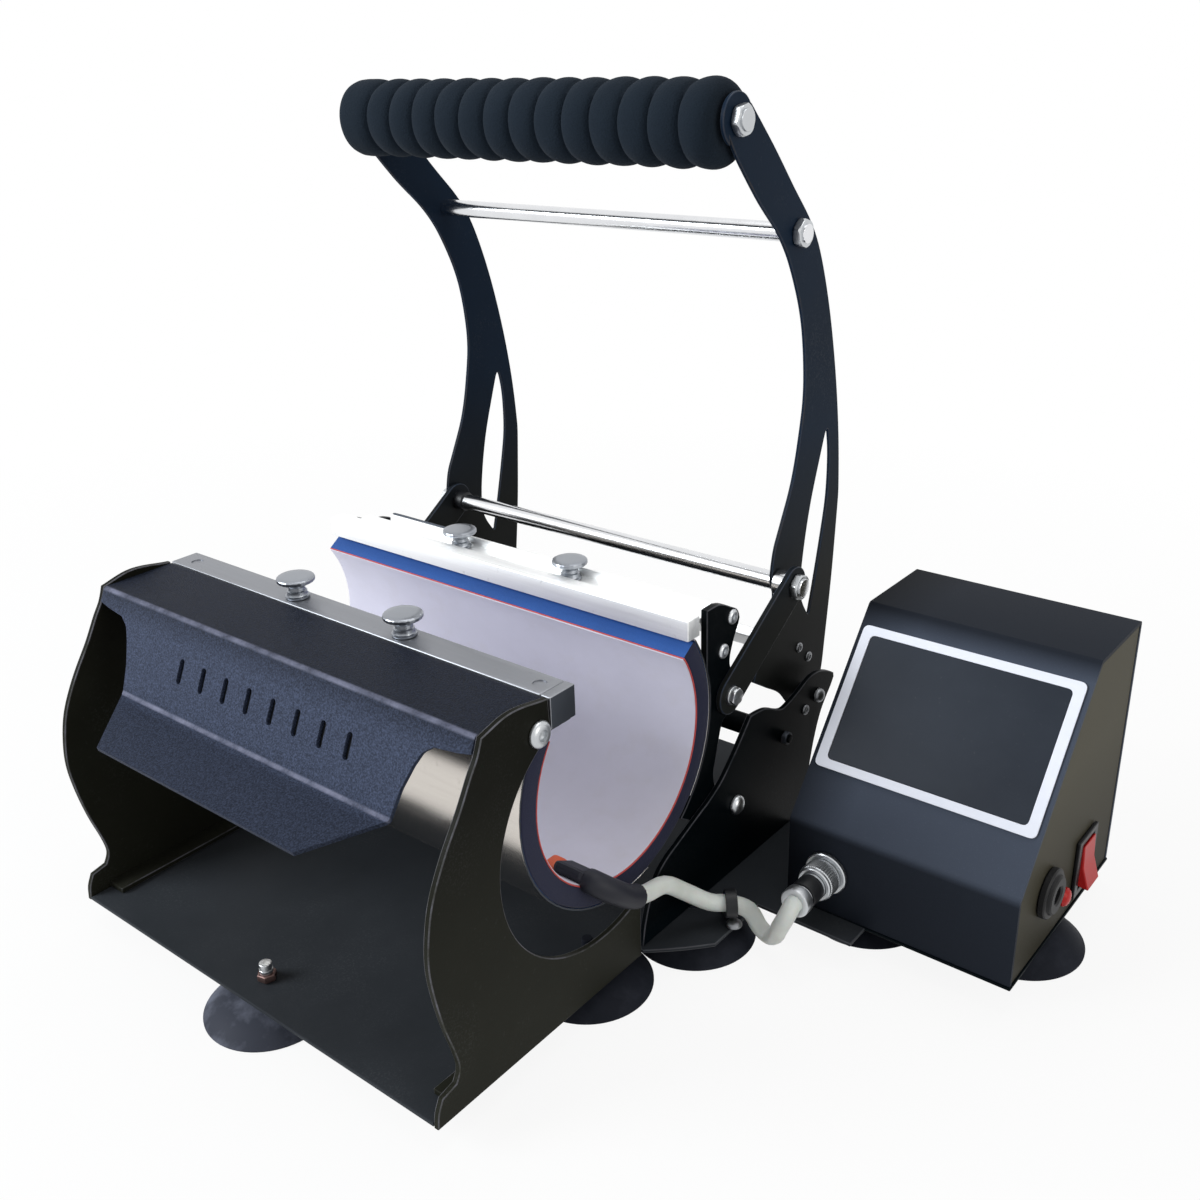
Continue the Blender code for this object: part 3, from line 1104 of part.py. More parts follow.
def make_terminal():
    """The block on the mat's end where the heating wires come out."""
    depth = MAT_INNER - FIT
    block = box_mesh(
        (TERMINAL_END_X - TERMINAL_LENGTH, -TERMINAL_WIDTH / 2, -depth),
        (TERMINAL_END_X, TERMINAL_WIDTH / 2, TERMINAL_DEPTH - depth))
    turn = Matrix.Rotation(TERMINAL_ANGLE + math.pi / 2, 4, "X")
    lift = math.hypot(depth, TERMINAL_WIDTH / 2) - depth
    block.transform(Matrix.Translation((0, 0, MAT_AXIS_Z)) @ turn @ Matrix.Translation((0, 0, lift)))
    link_object("heater_terminal", block, BLACK_PLASTIC)


def make_clip():
    """A P-clip: a loop round the lead and a foot on the base's ear."""
    x, y, z = CLIP_POINT
    inner = LEAD_RADIUS + CLIP_PLAY
    outer = inner + CLIP_WALL
    start = math.radians(-60)
    end = math.radians(240)
    low = BASE_TOP + FIT - z
    foot = -outer - CLIP_FOOT
    loop = [
        *arc((0.0, 0.0), outer, start, end), (outer * math.cos(end), low + CLIP_WALL), (foot, low + CLIP_WALL),
        (foot, low), (inner * math.cos(end), low), *arc((0.0, 0.0), inner, end, start)]
    turned = Matrix.Translation((x, y, z)) @ Matrix.Rotation(CLIP_TURN, 4, "Z") @ ACROSS_Y
    plate("lead_clip", loop, -CLIP_WIDTH / 2, CLIP_WIDTH / 2, BLACK_PLASTIC, turned=turned)


clear_scene()
PARTS = collection_named("cylindrical_heat_press")
GUIDES = collection_named("guides")
BLACK_PAINT = material("black powder coat", (0.012, 0.012, 0.014), 0.45)
BLACK_TEXTURED = material("textured black powder coat", (0.012, 0.012, 0.014), 0.55)
BOX_PAINT = material("satin charcoal paint", (0.018, 0.018, 0.022), 0.45)
STEEL = material("satin steel", (0.56, 0.56, 0.55), 0.35, 1.0)
STAINLESS = material("stainless sheet", (0.62, 0.60, 0.57), 0.25, 1.0)
ALUMINIUM = material("aluminium", (0.75, 0.75, 0.76), 0.35, 1.0)
CHROME = material("chrome", (0.80, 0.80, 0.82), 0.10, 1.0)
ZINC = material("zinc plate", (0.60, 0.60, 0.62), 0.30, 1.0)
RUBBER = material("black rubber", (0.015, 0.015, 0.016), 0.60)
FOAM = material("blue silicone foam", (0.020, 0.045, 0.22), 0.65)
FOAM_BLACK = material("black grip foam", (0.010, 0.010, 0.011), 0.85)
PANEL_GLASS = material("display film", (0.02, 0.022, 0.03), 0.30)
BLACK_PLASTIC = material("black plastic", (0.010, 0.010, 0.011), 0.40)
RED = material("red plastic", (0.55, 0.01, 0.01), 0.30)
SLEEVE = material("white glass sleeve", (0.78, 0.78, 0.74), 0.60)

HANDLE = pivot("handle_axis", HANDLE_PIVOT_Y, HANDLE_PIVOT_Z)
JAW = pivot("jaw_axis", JAW_PIVOT_Y, JAW_PIVOT_Z)
LINKS = pivot("links_axis", LOWER_ROD_Y, LOWER_ROD_Z, parent=HANDLE)

make_base()
make_cups()
make_front_plates()
make_cover()
make_front_clamp()
make_mat(JAW)
make_jaw(JAW)
make_brackets()
make_pivot_bolts()
make_handle(HANDLE)
make_links(LINKS)
for side_word, side_sign in SIDES:
    thumb_screw(
        f"front_thumb_screw_{side_word}", side_sign * FRONT_THUMB_X, CLAMP_BAR_Y,
        COVER_LEDGE + FIT + CLAMP_BAR_HEIGHT)
    thumb_screw(
        f"jaw_thumb_screw_{side_word}", side_sign * JAW_THUMB_X, JAW_THUMB_Y, CROSSMEMBER_TOP, JAW)
make_box()
make_switch()
make_lead(make_connector())
make_terminal()
make_clip()
for made_piece in PARTS.objects:
    if not made_piece.parent:
        made_piece.location.y -= ORIGIN_Y
bpy.context.view_layer.update()
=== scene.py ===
"""Cylindrical heat press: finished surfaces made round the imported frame, and the studio they stand in."""

import json
import math

import bmesh
import bpy
from bpy.props import FloatProperty, FloatVectorProperty, IntProperty, PointerProperty
from mathutils import Matrix, Vector


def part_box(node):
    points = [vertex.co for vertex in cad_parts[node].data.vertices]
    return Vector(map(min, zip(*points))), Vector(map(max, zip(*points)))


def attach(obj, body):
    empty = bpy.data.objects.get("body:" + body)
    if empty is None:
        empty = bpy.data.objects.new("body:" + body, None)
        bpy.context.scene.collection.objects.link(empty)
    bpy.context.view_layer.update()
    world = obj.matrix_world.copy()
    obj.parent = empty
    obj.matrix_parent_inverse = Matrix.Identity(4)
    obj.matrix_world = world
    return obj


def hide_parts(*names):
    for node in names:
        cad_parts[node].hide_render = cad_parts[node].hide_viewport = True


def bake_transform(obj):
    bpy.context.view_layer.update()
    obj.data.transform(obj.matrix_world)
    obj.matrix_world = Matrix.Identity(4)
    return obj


bl_info = {
    "name": "Cylindrical heat press",
    "version": (1, 0, 0),
    "blender": (4, 5, 0),
    "location": "3D View > Sidebar > Heat press",
    "description": "Builds the finished surfaces of a heat press round its packed frame",
    "category": "Object",
}

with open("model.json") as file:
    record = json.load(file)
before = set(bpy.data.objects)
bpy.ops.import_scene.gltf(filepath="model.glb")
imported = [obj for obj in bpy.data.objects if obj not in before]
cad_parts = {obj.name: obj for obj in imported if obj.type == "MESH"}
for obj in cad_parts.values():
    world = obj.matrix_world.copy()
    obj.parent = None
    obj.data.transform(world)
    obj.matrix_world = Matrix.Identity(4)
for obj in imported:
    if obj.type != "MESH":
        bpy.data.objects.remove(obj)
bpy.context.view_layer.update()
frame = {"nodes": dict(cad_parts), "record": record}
NODES = frame["nodes"]
BODY_OF = {node: body for body, nodes in frame["record"]["behaviour"]["bodies"].items() for node in nodes}
SLOT_OF = {row["node"]: row["material_slot"] for row in frame["record"]["subparts"]}

MM = 0.001
# The cradle's axis. Points are written from below it, in millimetres: across, back and up from the bench.
CRADLE_Y = 150.5
CRADLE_Z = 126.0
SIDES = (("left", -1), ("right", 1))

# An outline's own axes turned to the world's: across the press, and lying flat
ACROSS_X = Matrix(((0, 0, 1, 0), (1, 0, 0, 0), (0, 1, 0, 0), (0, 0, 0, 1)))
FLAT = Matrix.Identity(4)
X_AXIS = Vector((1, 0, 0))
Y_AXIS = Vector((0, 1, 0))
Z_AXIS = Vector((0, 0, 1))


# Shader expressions


class Socket:
    """A shader output that can be used in Python expressions."""

    def __init__(self, nodes, socket):
        self.nodes = nodes
        self.socket = socket

    def maths(self, operation, first, second):
        return self.nodes.add("Math", {"operation": operation}, {0: first, 1: second})

    def __add__(self, other):
        return self.maths("ADD", self, other)

    def __radd__(self, other):
        return self.maths("ADD", other, self)

    def __sub__(self, other):
        return self.maths("SUBTRACT", self, other)

    def __rsub__(self, other):
        return self.maths("SUBTRACT", other, self)

    def __mul__(self, other):
        return self.maths("MULTIPLY", self, other)

    def __rmul__(self, other):
        return self.maths("MULTIPLY", other, self)

    def __pow__(self, other):
        return self.maths("POWER", self, other)


class Nodes:
    """A node tree, and one method that adds any node to it."""

    def __init__(self, tree):
        self.tree = tree

    def join(self, target, value):
        if isinstance(value, Socket):
            self.tree.links.new(value.socket, target)
        else:
            target.default_value = value

    def add(self, kind, settings=None, sockets=None, output=0):
        node = self.tree.nodes.new("ShaderNode" + kind)
        for key, value in (settings or {}).items():
            setattr(node, key, value)
        for key, value in (sockets or {}).items():
            self.join(node.inputs[key], value)
        return Socket(self, node.outputs[output])

    def ramp(self, factor, low, high, start=0.0, end=1.0):
        """A value that goes from one number to another as the factor crosses a span."""
        return self.add("MapRange", {"clamp": True}, {
            "Value": factor, "From Min": start, "From Max": end, "To Min": low, "To Max": high})

    def seen(self):
        """1 for what the camera, gloss or glass sees, and 0 for the light that falls on the press."""
        camera, gloss, glass = [
            self.add("LightPath", output=f"Is {kind} Ray") for kind in ("Camera", "Glossy", "Transmission")]
        either = self.add("Math", {"operation": "MAXIMUM"}, {0: gloss, 1: glass})
        return self.add("Math", {"operation": "MAXIMUM"}, {0: camera, 1: either})


class Paint(Nodes):
    """A material, its shader, and the patterns that the finishes are made of."""

    def __init__(self, name, **fixed):
        self.material = bpy.data.materials.new(name)
        self.material.use_nodes = True
        super().__init__(self.material.node_tree)
        self.shader = self.tree.nodes["Principled BSDF"]
        for key, value in fixed.items():
            self.set(key.replace("_", " ").title().replace("Ior", "IOR"), value)

    def set(self, name, value):
        self.join(self.shader.inputs[name], value)

    def dress(self, colour, roughness, normal=None):
        """Feeds the sockets that vary over most surfaces."""
        self.set("Base Color", colour)
        self.set("Roughness", roughness)
        if normal:
            self.set("Normal", normal)
        return self

    def here(self):
        """The piece's own coordinates in metres."""
        return self.add("TexCoord", output="Object")

    def along(self, axis):
        return self.add("SeparateXYZ", None, {0: self.here()}, axis)

    def stretched(self, stretch=(1, 1, 1)):
        return self.add("Mapping", None, {"Vector": self.here(), "Scale": stretch})

    def noise(self, scale, detail=3.0, roughness=0.55, stretch=(1, 1, 1)):
        return self.add("TexNoise", None, {
            "Vector": self.stretched(stretch), "Scale": scale, "Detail": detail, "Roughness": roughness})

    def cells(self, scale):
        return self.add("TexVoronoi", None, {"Vector": self.stretched(), "Scale": scale}, "Distance")

    def blend(self, factor, first, second):
        return self.add("Mix", {"data_type": "RGBA"}, {0: factor, 6: first, 7: second}, 2)

    def bump(self, height, strength, distance, normal=None):
        sockets = {"Height": height, "Strength": strength, "Distance": distance}
        if normal:
            sockets["Normal"] = normal
        return self.add("Bump", None, sockets)


def rgba(colour, gain=1.0):
    return (*[channel * gain for channel in colour[:3]], 1.0)


def tone_of(shade):
    return getattr(bpy.context.scene.press_colours, shade)


UNLIT = (0.0, 0.0, 0.0, 1.0)
# Painted shade: how much of a paint's tone is left high up, and the heights in metres between which it
# darkens
NO_PAINTED_SHADE = (1.0, 0.0, 1.0)
PAINTED_SHADE_HIGH_UP = {"frame": (0.55, 0.10, 0.16), "deep": (0.5, 0.02, 0.03)}
# The grey of the painted highlight along each paint's eased cut edges
EDGE_HIGHLIGHT_GREY = {"frame": 0.115, "deep": 0.06, "deck": 0.05, "arm": 0.03}
FINISHES = {}


def finish(make):
    """Keeps one material for each finish, made when it is first asked for."""
    def kept(*words):
        key = (make.__name__, *words)
        if key not in FINISHES:
            FINISHES[key] = make(*words).material
        return FINISHES[key]
    return kept


@finish
def powder_coat(shade):
    """Satin black paint: a fine orange peel, faint dust and rubbed places."""
    tone = tone_of(shade)
    paint = Paint(f"black_powder_coat_{shade}", specular_ior_level=0.12, ior=1.24)
    cloud = paint.noise(9.0, 5.0, 0.6)
    dust = paint.ramp(paint.noise(420.0, 2.0), 0.0, 1.0, 0.64, 0.78)
    rubbed = paint.ramp(paint.noise(30.0, 6.0, 0.7, (1, 1, 0.25)), 0.0, 1.0, 0.58, 0.72)
    patch = paint.ramp(paint.noise(17.0, 3.0), 0.0, 1.0, 0.50, 0.68)
    speck = paint.ramp(paint.noise(1050.0, 2.0), 0.0, 1.0, 0.52, 0.66)
    up = paint.along("Z")
    black = paint.blend(cloud, rgba(tone, 0.7), rgba(tone, 1.6))
    black = paint.blend(dust * 0.04 + patch * speck * 0.07, black, (0.20, 0.20, 0.21, 1.0))
    if shade == "arm":
        black = paint.blend(paint.ramp(up, 0.0, 1.0, 0.15, 0.24), (0.0125, 0.0135, 0.0130, 1.0), black)
    # Painted shade: the side plates and the darker bracket paint turn darker high up
    black = paint.blend(paint.ramp(up, 1.0, *PAINTED_SHADE_HIGH_UP.get(shade, NO_PAINTED_SHADE)), UNLIT, black)
    peel = paint.bump(paint.noise(1300.0, 2.0), 0.16, 0.00025)
    return paint.dress(black, 0.34 + cloud * 0.12 + rubbed * 0.08, peel)


@finish
def rubbed_edge(shade):
    """The same paint with a painted highlight along its eased cut edges."""
    tone = tone_of(shade)
    paint = Paint(f"rubbed_edge_{shade}", specular_ior_level=0.3, ior=1.35)
    # Painted highlight: the eased edges are lighter, broken up by noise
    highlight_grey = EDGE_HIGHLIGHT_GREY[shade]
    highlight_patches = paint.ramp(paint.noise(60.0, 6.0, 0.75), 0.0, 1.0, 0.36, 0.62)
    return paint.dress(
        paint.blend(highlight_patches, rgba(tone, 2.0), (highlight_grey, highlight_grey, highlight_grey * 1.18, 1.0)),
        0.34 + highlight_patches * 0.12,
        paint.bump(highlight_patches, 0.10, 0.0002))


@finish
def textured_coat():
    """Coarse textured paint, with painted shade on its top and lip and painted highlights along its two
    folds.
    """
    tone = tone_of("textured")
    paint = Paint("textured_powder_coat", specular_ior_level=0.2, ior=1.22)
    grain = paint.noise(1150.0, 3.0, 0.65)
    cloud = paint.noise(14.0, 4.0)
    lit = paint.ramp(grain, 0.0, 1.0, 0.40, 0.66)
    black = paint.blend(lit, rgba(tone, 0.95), rgba(tone, 2.5))
    behind, up = paint.along("Y"), paint.along("Z")
    # Painted shade: the top and the lip darker than the slope
    painted_cover_shade = paint.ramp(behind, 1.0, 0.27, 0.050, 0.058) * paint.ramp(behind, 0.56, 1.0, 0.031, 0.038)
    black = paint.blend(painted_cover_shade, UNLIT, black)
    # Painted highlights: pale lines along the two folds, where the bends catch the light
    broken_highlight = paint.ramp(paint.noise(70.0, 5.0, 0.7), 0.25, 1.0, 0.35, 0.65)
    for (y, z), wide, share in zip(COVER_FOLDS, (0.0020, 0.0016), (0.75, 0.85)):
        away = ((behind - y * MM) ** 2 + (up - z * MM) ** 2) ** 0.5
        line = paint.ramp(away, share, 0.0, wide * 0.45, wide)
        black = paint.blend(line * broken_highlight, black, (0.20, 0.21, 0.29, 1.0))
    return paint.dress(black, 0.42 + cloud * 0.08 + lit * 0.08, paint.bump(grain, 0.55, 0.0006))


@finish
def box_paint(shade):
    """Satin charcoal paint on the control box, with painted shade: the side panels darker low down, the shell
    darker at its end beside the press, on its front below the fold and on its top.
    """
    tone = tone_of(shade)
    paint = Paint(f"charcoal_paint_{shade}", specular_ior_level=0.2, ior=1.14)
    cloud = paint.noise(7.0, 4.0)
    grain = paint.noise(1700.0, 2.0)
    fleck = paint.ramp(grain, 0.0, 1.0, 0.60, 0.75)
    across, behind, up = [paint.along(axis) for axis in "XYZ"]
    base = paint.blend(cloud, rgba(tone, 0.8), rgba(tone, 1.2))
    base = paint.blend(fleck * 0.12, base, rgba(tone, 3.0))
    # Painted shade: the paint is darker where the box's faces lie in shade
    if shade == "cheek":
        low = paint.ramp(up, 0.42, 1.0, 0.02, 0.11)
    else:
        inner = paint.ramp(across, 0.36, 1.0, 0.168, 0.200)
        front = paint.ramp(up + paint.ramp(behind, 0.0, 0.1, 0.2450, 0.2500), 0.32, 1.0, 0.062, 0.067)
        low = inner * front * paint.ramp(up, 1.0, 0.28, 0.150, 0.158)
    return paint.dress(paint.blend(low, UNLIT, base), 0.40 + cloud * 0.08, paint.bump(grain, 0.10, 0.0002))


@finish
def brushed(name, red, green, blue, rough, grain):
    """Metal brushed along the press, with faint streaks and spots."""
    paint = Paint(name, metallic=1.0)
    lines = paint.noise(grain, 4.0, 0.6, (0.03, 1, 1))
    cloud = paint.noise(22.0, 4.0)
    spots = paint.ramp(paint.noise(240.0, 3.0), 0.0, 1.0, 0.66, 0.74)
    colour = (red, green, blue)
    plain = paint.blend(lines, rgba(colour, 0.88), rgba(colour, 1.06))
    return paint.dress(
        paint.blend(spots * 0.35, plain, rgba(colour, 0.6)),
        rough + lines * 0.10 + cloud * 0.06,
        paint.bump(lines, 0.06, 0.0002))


@finish
def plated(name, red, green, blue, rough):
    """Bright plating with slight clouding and tiny marks."""
    paint = Paint(name, metallic=1.0)
    cloud = paint.noise(60.0, 5.0, 0.6)
    marks = paint.noise(700.0, 3.0)
    colour = (red, green, blue)
    return paint.dress(
        paint.blend(cloud, rgba(colour, 0.86), rgba(colour, 1.05)),
        rough + cloud * 0.08 + marks * 0.04,
        paint.bump(marks, 0.05, 0.0002))


@finish
def rubber():
    """Moulded rubber with mottled dust; the front cup, which stands clear of the base, is painted lighter as
    lit, the others darker.
    """
    paint = Paint("black_rubber", specular_ior_level=0.15, ior=1.22)
    dust = paint.ramp(paint.noise(30.0, 5.0, 0.65), 0.0, 1.0, 0.45, 0.7)
    # Dust, and painted light: the front cup lighter, as the light falls on it
    dust_and_painted_light = (dust + 0.3) * paint.ramp(paint.along("Y"), 0.9, 0.12, 0.07, 0.09)
    colour = paint.blend(dust_and_painted_light, (0.012, 0.014, 0.020, 1), (0.130, 0.140, 0.180, 1))
    return paint.dress(colour, 0.50 + dust * 0.15, paint.bump(paint.noise(900.0, 3.0), 0.12, 0.0003))


@finish
def plastic(name, red, green, blue, rough):
    """Moulded plastic with a fine spark-eroded grain."""
    paint = Paint(name, specular_ior_level=0.3)
    grain = paint.noise(1500.0, 3.0)
    cloud = paint.noise(40.0, 3.0)
    colour = (red, green, blue)
    return paint.dress(
        paint.blend(cloud, rgba(colour, 0.85), rgba(colour, 1.15)),
        rough + cloud * 0.08,
        paint.bump(grain, 0.10, 0.0002))


@finish
def foam_blue(shade):
    """Closed-cell silicone foam: tiny pores and a soft bloom."""
    tone = tone_of(shade)
    paint = Paint(f"silicone_{shade}", specular_ior_level=0.25, sheen_weight=0.15, sheen_roughness=0.4)
    pores = paint.cells(1500.0)
    cloud = paint.noise(45.0, 4.0)
    long_cloud = paint.noise(20.0, 3.0, 0.6, (0.5, 1, 1))
    base = paint.blend(cloud * 0.5 + long_cloud * 0.5, rgba(tone, 0.62), rgba(tone, 1.32))
    # Painted shade: the pores darker
    painted_pore_shade = paint.ramp(pores, 1.0, 0.0, 0.05, 0.32)
    return paint.dress(
        paint.blend(painted_pore_shade * 0.5, base, rgba(tone, 0.35)), 0.62 + cloud * 0.15, paint.bump(pores, 0.25, 0.0004))


@finish
def coated_face():
    """The mat's working face: glass cloth under a smooth pale coating, with faint stains."""
    tone = tone_of("face")
    paint = Paint("coated_mat_face", specular_ior_level=0.35)
    stain = paint.noise(16.0, 6.0, 0.62, (1, 1, 1.6))
    mottle = paint.noise(70.0, 4.0)
    weave = paint.noise(2200.0, 1.0, 0.4)
    pale = paint.blend(stain, rgba(tone, 0.86), rgba(tone, 1.08))
    warm = paint.ramp(mottle, 0.0, 1.0, 0.52, 0.74)
    colour = paint.blend(warm * 0.16, pale, (0.50, 0.47, 0.46, 1))
    ripple = paint.bump(paint.noise(34.0, 3.0, 0.5, (0.6, 1, 1)), 0.30, 0.0012)
    return paint.dress(colour, 0.38 + stain * 0.16, paint.bump(weave, 0.10, 0.0002, ripple))


@finish
def red_glue():
    """The thin red line of silicone between the face and the foam."""
    paint = Paint("red_silicone_line", specular_ior_level=0.4)
    cloud = paint.noise(220.0, 3.0)
    return paint.dress(paint.blend(cloud, (0.42, 0.03, 0.03, 1), (0.66, 0.10, 0.08, 1)), 0.5 + cloud * 0.2)


@finish
def grip_foam():
    """Matte nitrile foam: dense small pores and a powdery edge."""
    paint = Paint("grip_foam", specular_ior_level=0.12, ior=1.3, sheen_weight=0.02, sheen_roughness=0.5)
    pores = paint.cells(1100.0)
    fine = paint.noise(2400.0, 3.0)
    cloud = paint.noise(24.0, 4.0)
    # Painted shade: the pores darker
    painted_pore_shade = paint.ramp(pores, 1.0, 0.0, 0.04, 0.30)
    base = paint.blend(cloud, (0.008, 0.013, 0.020, 1), (0.014, 0.021, 0.031, 1))
    return paint.dress(
        paint.blend(painted_pore_shade * 0.6, base, (0.003, 0.004, 0.006, 1)),
        0.82 + cloud * 0.12,
        paint.bump(pores + fine * 0.3, 0.35, 0.0005))


@finish
def window_film():
    """Dark gloss film over the display, faintly clouded by wiping."""
    paint = Paint("display_film", specular_ior_level=0.16, ior=1.35)
    wipes = paint.noise(16.0, 5.0, 0.6, (1, 0.4, 1.8))
    dust = paint.ramp(paint.noise(500.0, 2.0), 0.0, 1.0, 0.68, 0.76)
    film = paint.blend(wipes, (0.014, 0.018, 0.026, 1), (0.030, 0.037, 0.050, 1))
    return paint.dress(paint.blend(dust * 0.06, film, (0.20, 0.20, 0.20, 1)), 0.26 + wipes * 0.16)


@finish
def border_print():
    """White screen print round the window."""
    paint = Paint("white_print", specular_ior_level=0.4)
    cloud = paint.noise(90.0, 4.0)
    return paint.dress(
        paint.blend(cloud, (0.66, 0.69, 0.78, 1), (0.76, 0.78, 0.86, 1)),
        0.34 + cloud * 0.12,
        paint.bump(paint.noise(1800.0, 2.0), 0.05, 0.0001))


@finish
def white_sleeve():
    """Braided glass sleeve soaked in white silicone."""
    paint = Paint("glass_sleeve", specular_ior_level=0.45, subsurface_weight=0.1)
    braid = paint.cells(900.0)
    cloud = paint.noise(55.0, 5.0)
    stain = paint.ramp(cloud, 0.0, 1.0, 0.40, 0.75)
    return paint.dress(
        paint.blend(stain * 0.5, (0.74, 0.76, 0.73, 1), (0.52, 0.54, 0.49, 1)),
        0.40 + cloud * 0.15,
        paint.bump(braid, 0.18, 0.0004))


@finish
def lamp_red():
    """Translucent red plastic of the rocker and the lamp, with a faint painted glow."""
    paint = Paint("red_plastic", specular_ior_level=0.35, ior=1.35, emission_strength=0.06)
    cloud = paint.noise(120.0, 3.0)
    colour = paint.blend(cloud, (0.34, 0.008, 0.009, 1), (0.46, 0.018, 0.016, 1))
    # Painted glow: the faint red emission
    paint.set("Emission Color", paint.blend(cloud, (0.5, 0.01, 0.01, 1), (0.6, 0.02, 0.02, 1)))
    return paint.dress(colour, 0.30 + cloud * 0.10)


@finish
def heat_red():
    """Orange-red high-temperature silicone at the mat's leads."""
    paint = Paint("orange_silicone", specular_ior_level=0.45)
    cloud = paint.noise(160.0, 4.0)
    return paint.dress(
        paint.blend(cloud, (0.55, 0.06, 0.02, 1), (0.85, 0.16, 0.05, 1)),
        0.42 + cloud * 0.18,
        paint.bump(cloud, 0.2, 0.0006))


def steel():
    return brushed("satin_steel", 0.29, 0.30, 0.325, 0.36, 520.0)


# Dark steel: the bracket rod's dark heads and the shelf's rim, and painted shade on the ends of the front bar
# and the backing
def dull_steel():
    return brushed("dull_steel", 0.055, 0.062, 0.075, 0.45, 300.0)


# Near-white steel: a lit copy of the satin steel, painting the glare on the jaw bar and its shelf
def bar_white():
    return brushed("bright_steel", 0.97, 0.98, 0.98, 0.42, 420.0)


def stainless():
    return brushed("stainless_sheet", 0.66, 0.62, 0.575, 0.16, 340.0)


def aluminium():
    return brushed("aluminium", 0.74, 0.75, 0.76, 0.36, 480.0)


def chrome():
    return plated("chrome", 0.80, 0.81, 0.83, 0.13)


def zinc():
    return plated("zinc_plate", 0.58, 0.60, 0.62, 0.27)


def dull_zinc():
    return plated("dull_zinc", 0.26, 0.27, 0.285, 0.38)


def rusted_zinc():
    return plated("rusted_zinc", 0.20, 0.13, 0.12, 0.42)


def thumb_zinc():
    return plated("thumb_zinc", 0.33, 0.35, 0.385, 0.24)


def gland_black():
    return plastic("gland_plastic", 0.004, 0.004, 0.005, 0.5)


def tape():
    return plastic("black_tape", 0.012, 0.013, 0.020, 0.5)


def black_plastic():
    return plastic("black_plastic", 0.010, 0.011, 0.013, 0.36)


# Making shapes


def point(x, y, z):
    """A place in metres from millimetres measured at the cradle's axis."""
    return Vector((x * MM, (y + CRADLE_Y) * MM, z * MM))


def axes_at(place, right, up, out):
    """Three axes turned from the world's, with their origin at a place."""
    return Matrix.Translation(place) @ Matrix((right, up, out)).transposed().to_4x4()


def linked(name, data):
    obj = bpy.data.objects.new(name, data)
    bpy.context.scene.collection.objects.link(obj)
    return obj


def settle(name, mesh, material, body, slot, *nodes):
    """A new piece with its material, riding on a body and standing for CAD nodes."""
    obj = linked(name, mesh)
    obj.data.materials.clear()
    obj.data.materials.append(material)
    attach(obj, body)
    if nodes:
        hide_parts(*nodes)
    return obj


def stand_in(name, mesh, material, node):
    """A piece that takes its body from the node it stands for."""
    return settle(name, mesh, material, BODY_OF[node], SLOT_OF[node], node)


def second_finish(mesh, material, chosen):
    """Gives another material to the faces that a test picks."""
    mesh.materials.append(material)
    for face in mesh.polygons:
        if chosen(face):
            face.material_index = 1


def opened(mesh):
    """A mesh ready for editing, without doubled points."""
    built = bmesh.new()
    built.from_mesh(mesh)
    bmesh.ops.remove_doubles(built, verts=built.verts, dist=2e-6)
    return built


def wrapped(built):
    """What bmesh has built, as a mesh."""
    mesh = bpy.data.meshes.new("piece")
    built.to_mesh(mesh)
    built.free()
    return mesh


def shaded(mesh, angle=22.0):
    mesh.shade_smooth()
    mesh.set_sharp_from_angle(angle=math.radians(angle))
    return mesh


def cleaned(mesh):
    built = opened(mesh)
    bmesh.ops.dissolve_degenerate(built, edges=built.edges, dist=2e-6)
    bmesh.ops.recalc_face_normals(built, faces=built.faces)
    return wrapped(built)


def merged(*meshes):
    """Several closed meshes as one."""
    built = bmesh.new()
    for mesh in meshes:
        built.from_mesh(mesh)
    return wrapped(built)


def evaluated(obj):
    """An object's mesh with its modifiers applied; the object itself goes."""
    bpy.context.view_layer.update()
    mesh = bpy.data.meshes.new_from_object(obj.evaluated_get(bpy.context.evaluated_depsgraph_get()))
    bpy.data.objects.remove(obj, do_unlink=True)
    return mesh


def eased(points, corner=34.0, spacing=0.0022):
    """A closed outline drawn again as a smooth one that keeps its corners and straight sides."""
    points = [Vector(p) for p in points]
    count = len(points)
    runs = [points[(i + 1) % count] - points[i] for i in range(count)]
    tangents = []
    for index in range(count):
        before, after = runs[index - 1], runs[index]
        turn = before.angle(after, 0.0)
        if math.degrees(turn) > corner:
            tangents.append(None)
            continue
        first, second = before.length, after.length
        if first > 3 * second:
            tangents.append(before.normalized())
        elif second > 3 * first:
            tangents.append(after.normalized())
        else:
            tangents.append((before.normalized() * second + after.normalized() * first).normalized())
    result = []
    for index in range(count):
        start, end = points[index], points[(index + 1) % count]
        reach = runs[index].length
        leave = tangents[index] or runs[index].normalized()
        meet = tangents[(index + 1) % count] or runs[index].normalized()
        straight = tangents[index] is None and tangents[(index + 1) % count] is None
        steps = 1 if straight else max(1, math.ceil(reach / spacing))
        for step in range(min(steps, 8)):
            t = step / min(steps, 8)
            place = start * (2 * t ** 3 - 3 * t * t + 1) + leave * reach * (t ** 3 - 2 * t * t + t)
            place += end * (3 * t * t - 2 * t ** 3) + meet * reach * (t ** 3 - t * t)
            result.append(tuple(place))
    return result


def filleted(points, radius, closed=True, steps=4):
    """An outline whose corners are rounded, as far as its sides allow."""
    points = [Vector(p) for p in points]
    count = len(points)
    result = []
    for index, here in enumerate(points):
        if not closed and index in (0, count - 1):
            result.append(tuple(here))
            continue
        before = points[index - 1] - here
        after = points[(index + 1) % count] - here
        angle = before.angle(after, math.pi)
        if angle > math.radians(176):
            result.append(tuple(here))
            continue
        cut = min(radius / math.tan(angle / 2), before.length * 0.45, after.length * 0.45)
        start = here + before.normalized() * cut
        end = here + after.normalized() * cut
        for step in range(steps + 1):
            t = step / steps
            result.append(tuple(start * (1 - t) ** 2 + here * 2 * t * (1 - t) + end * t * t))
    return result


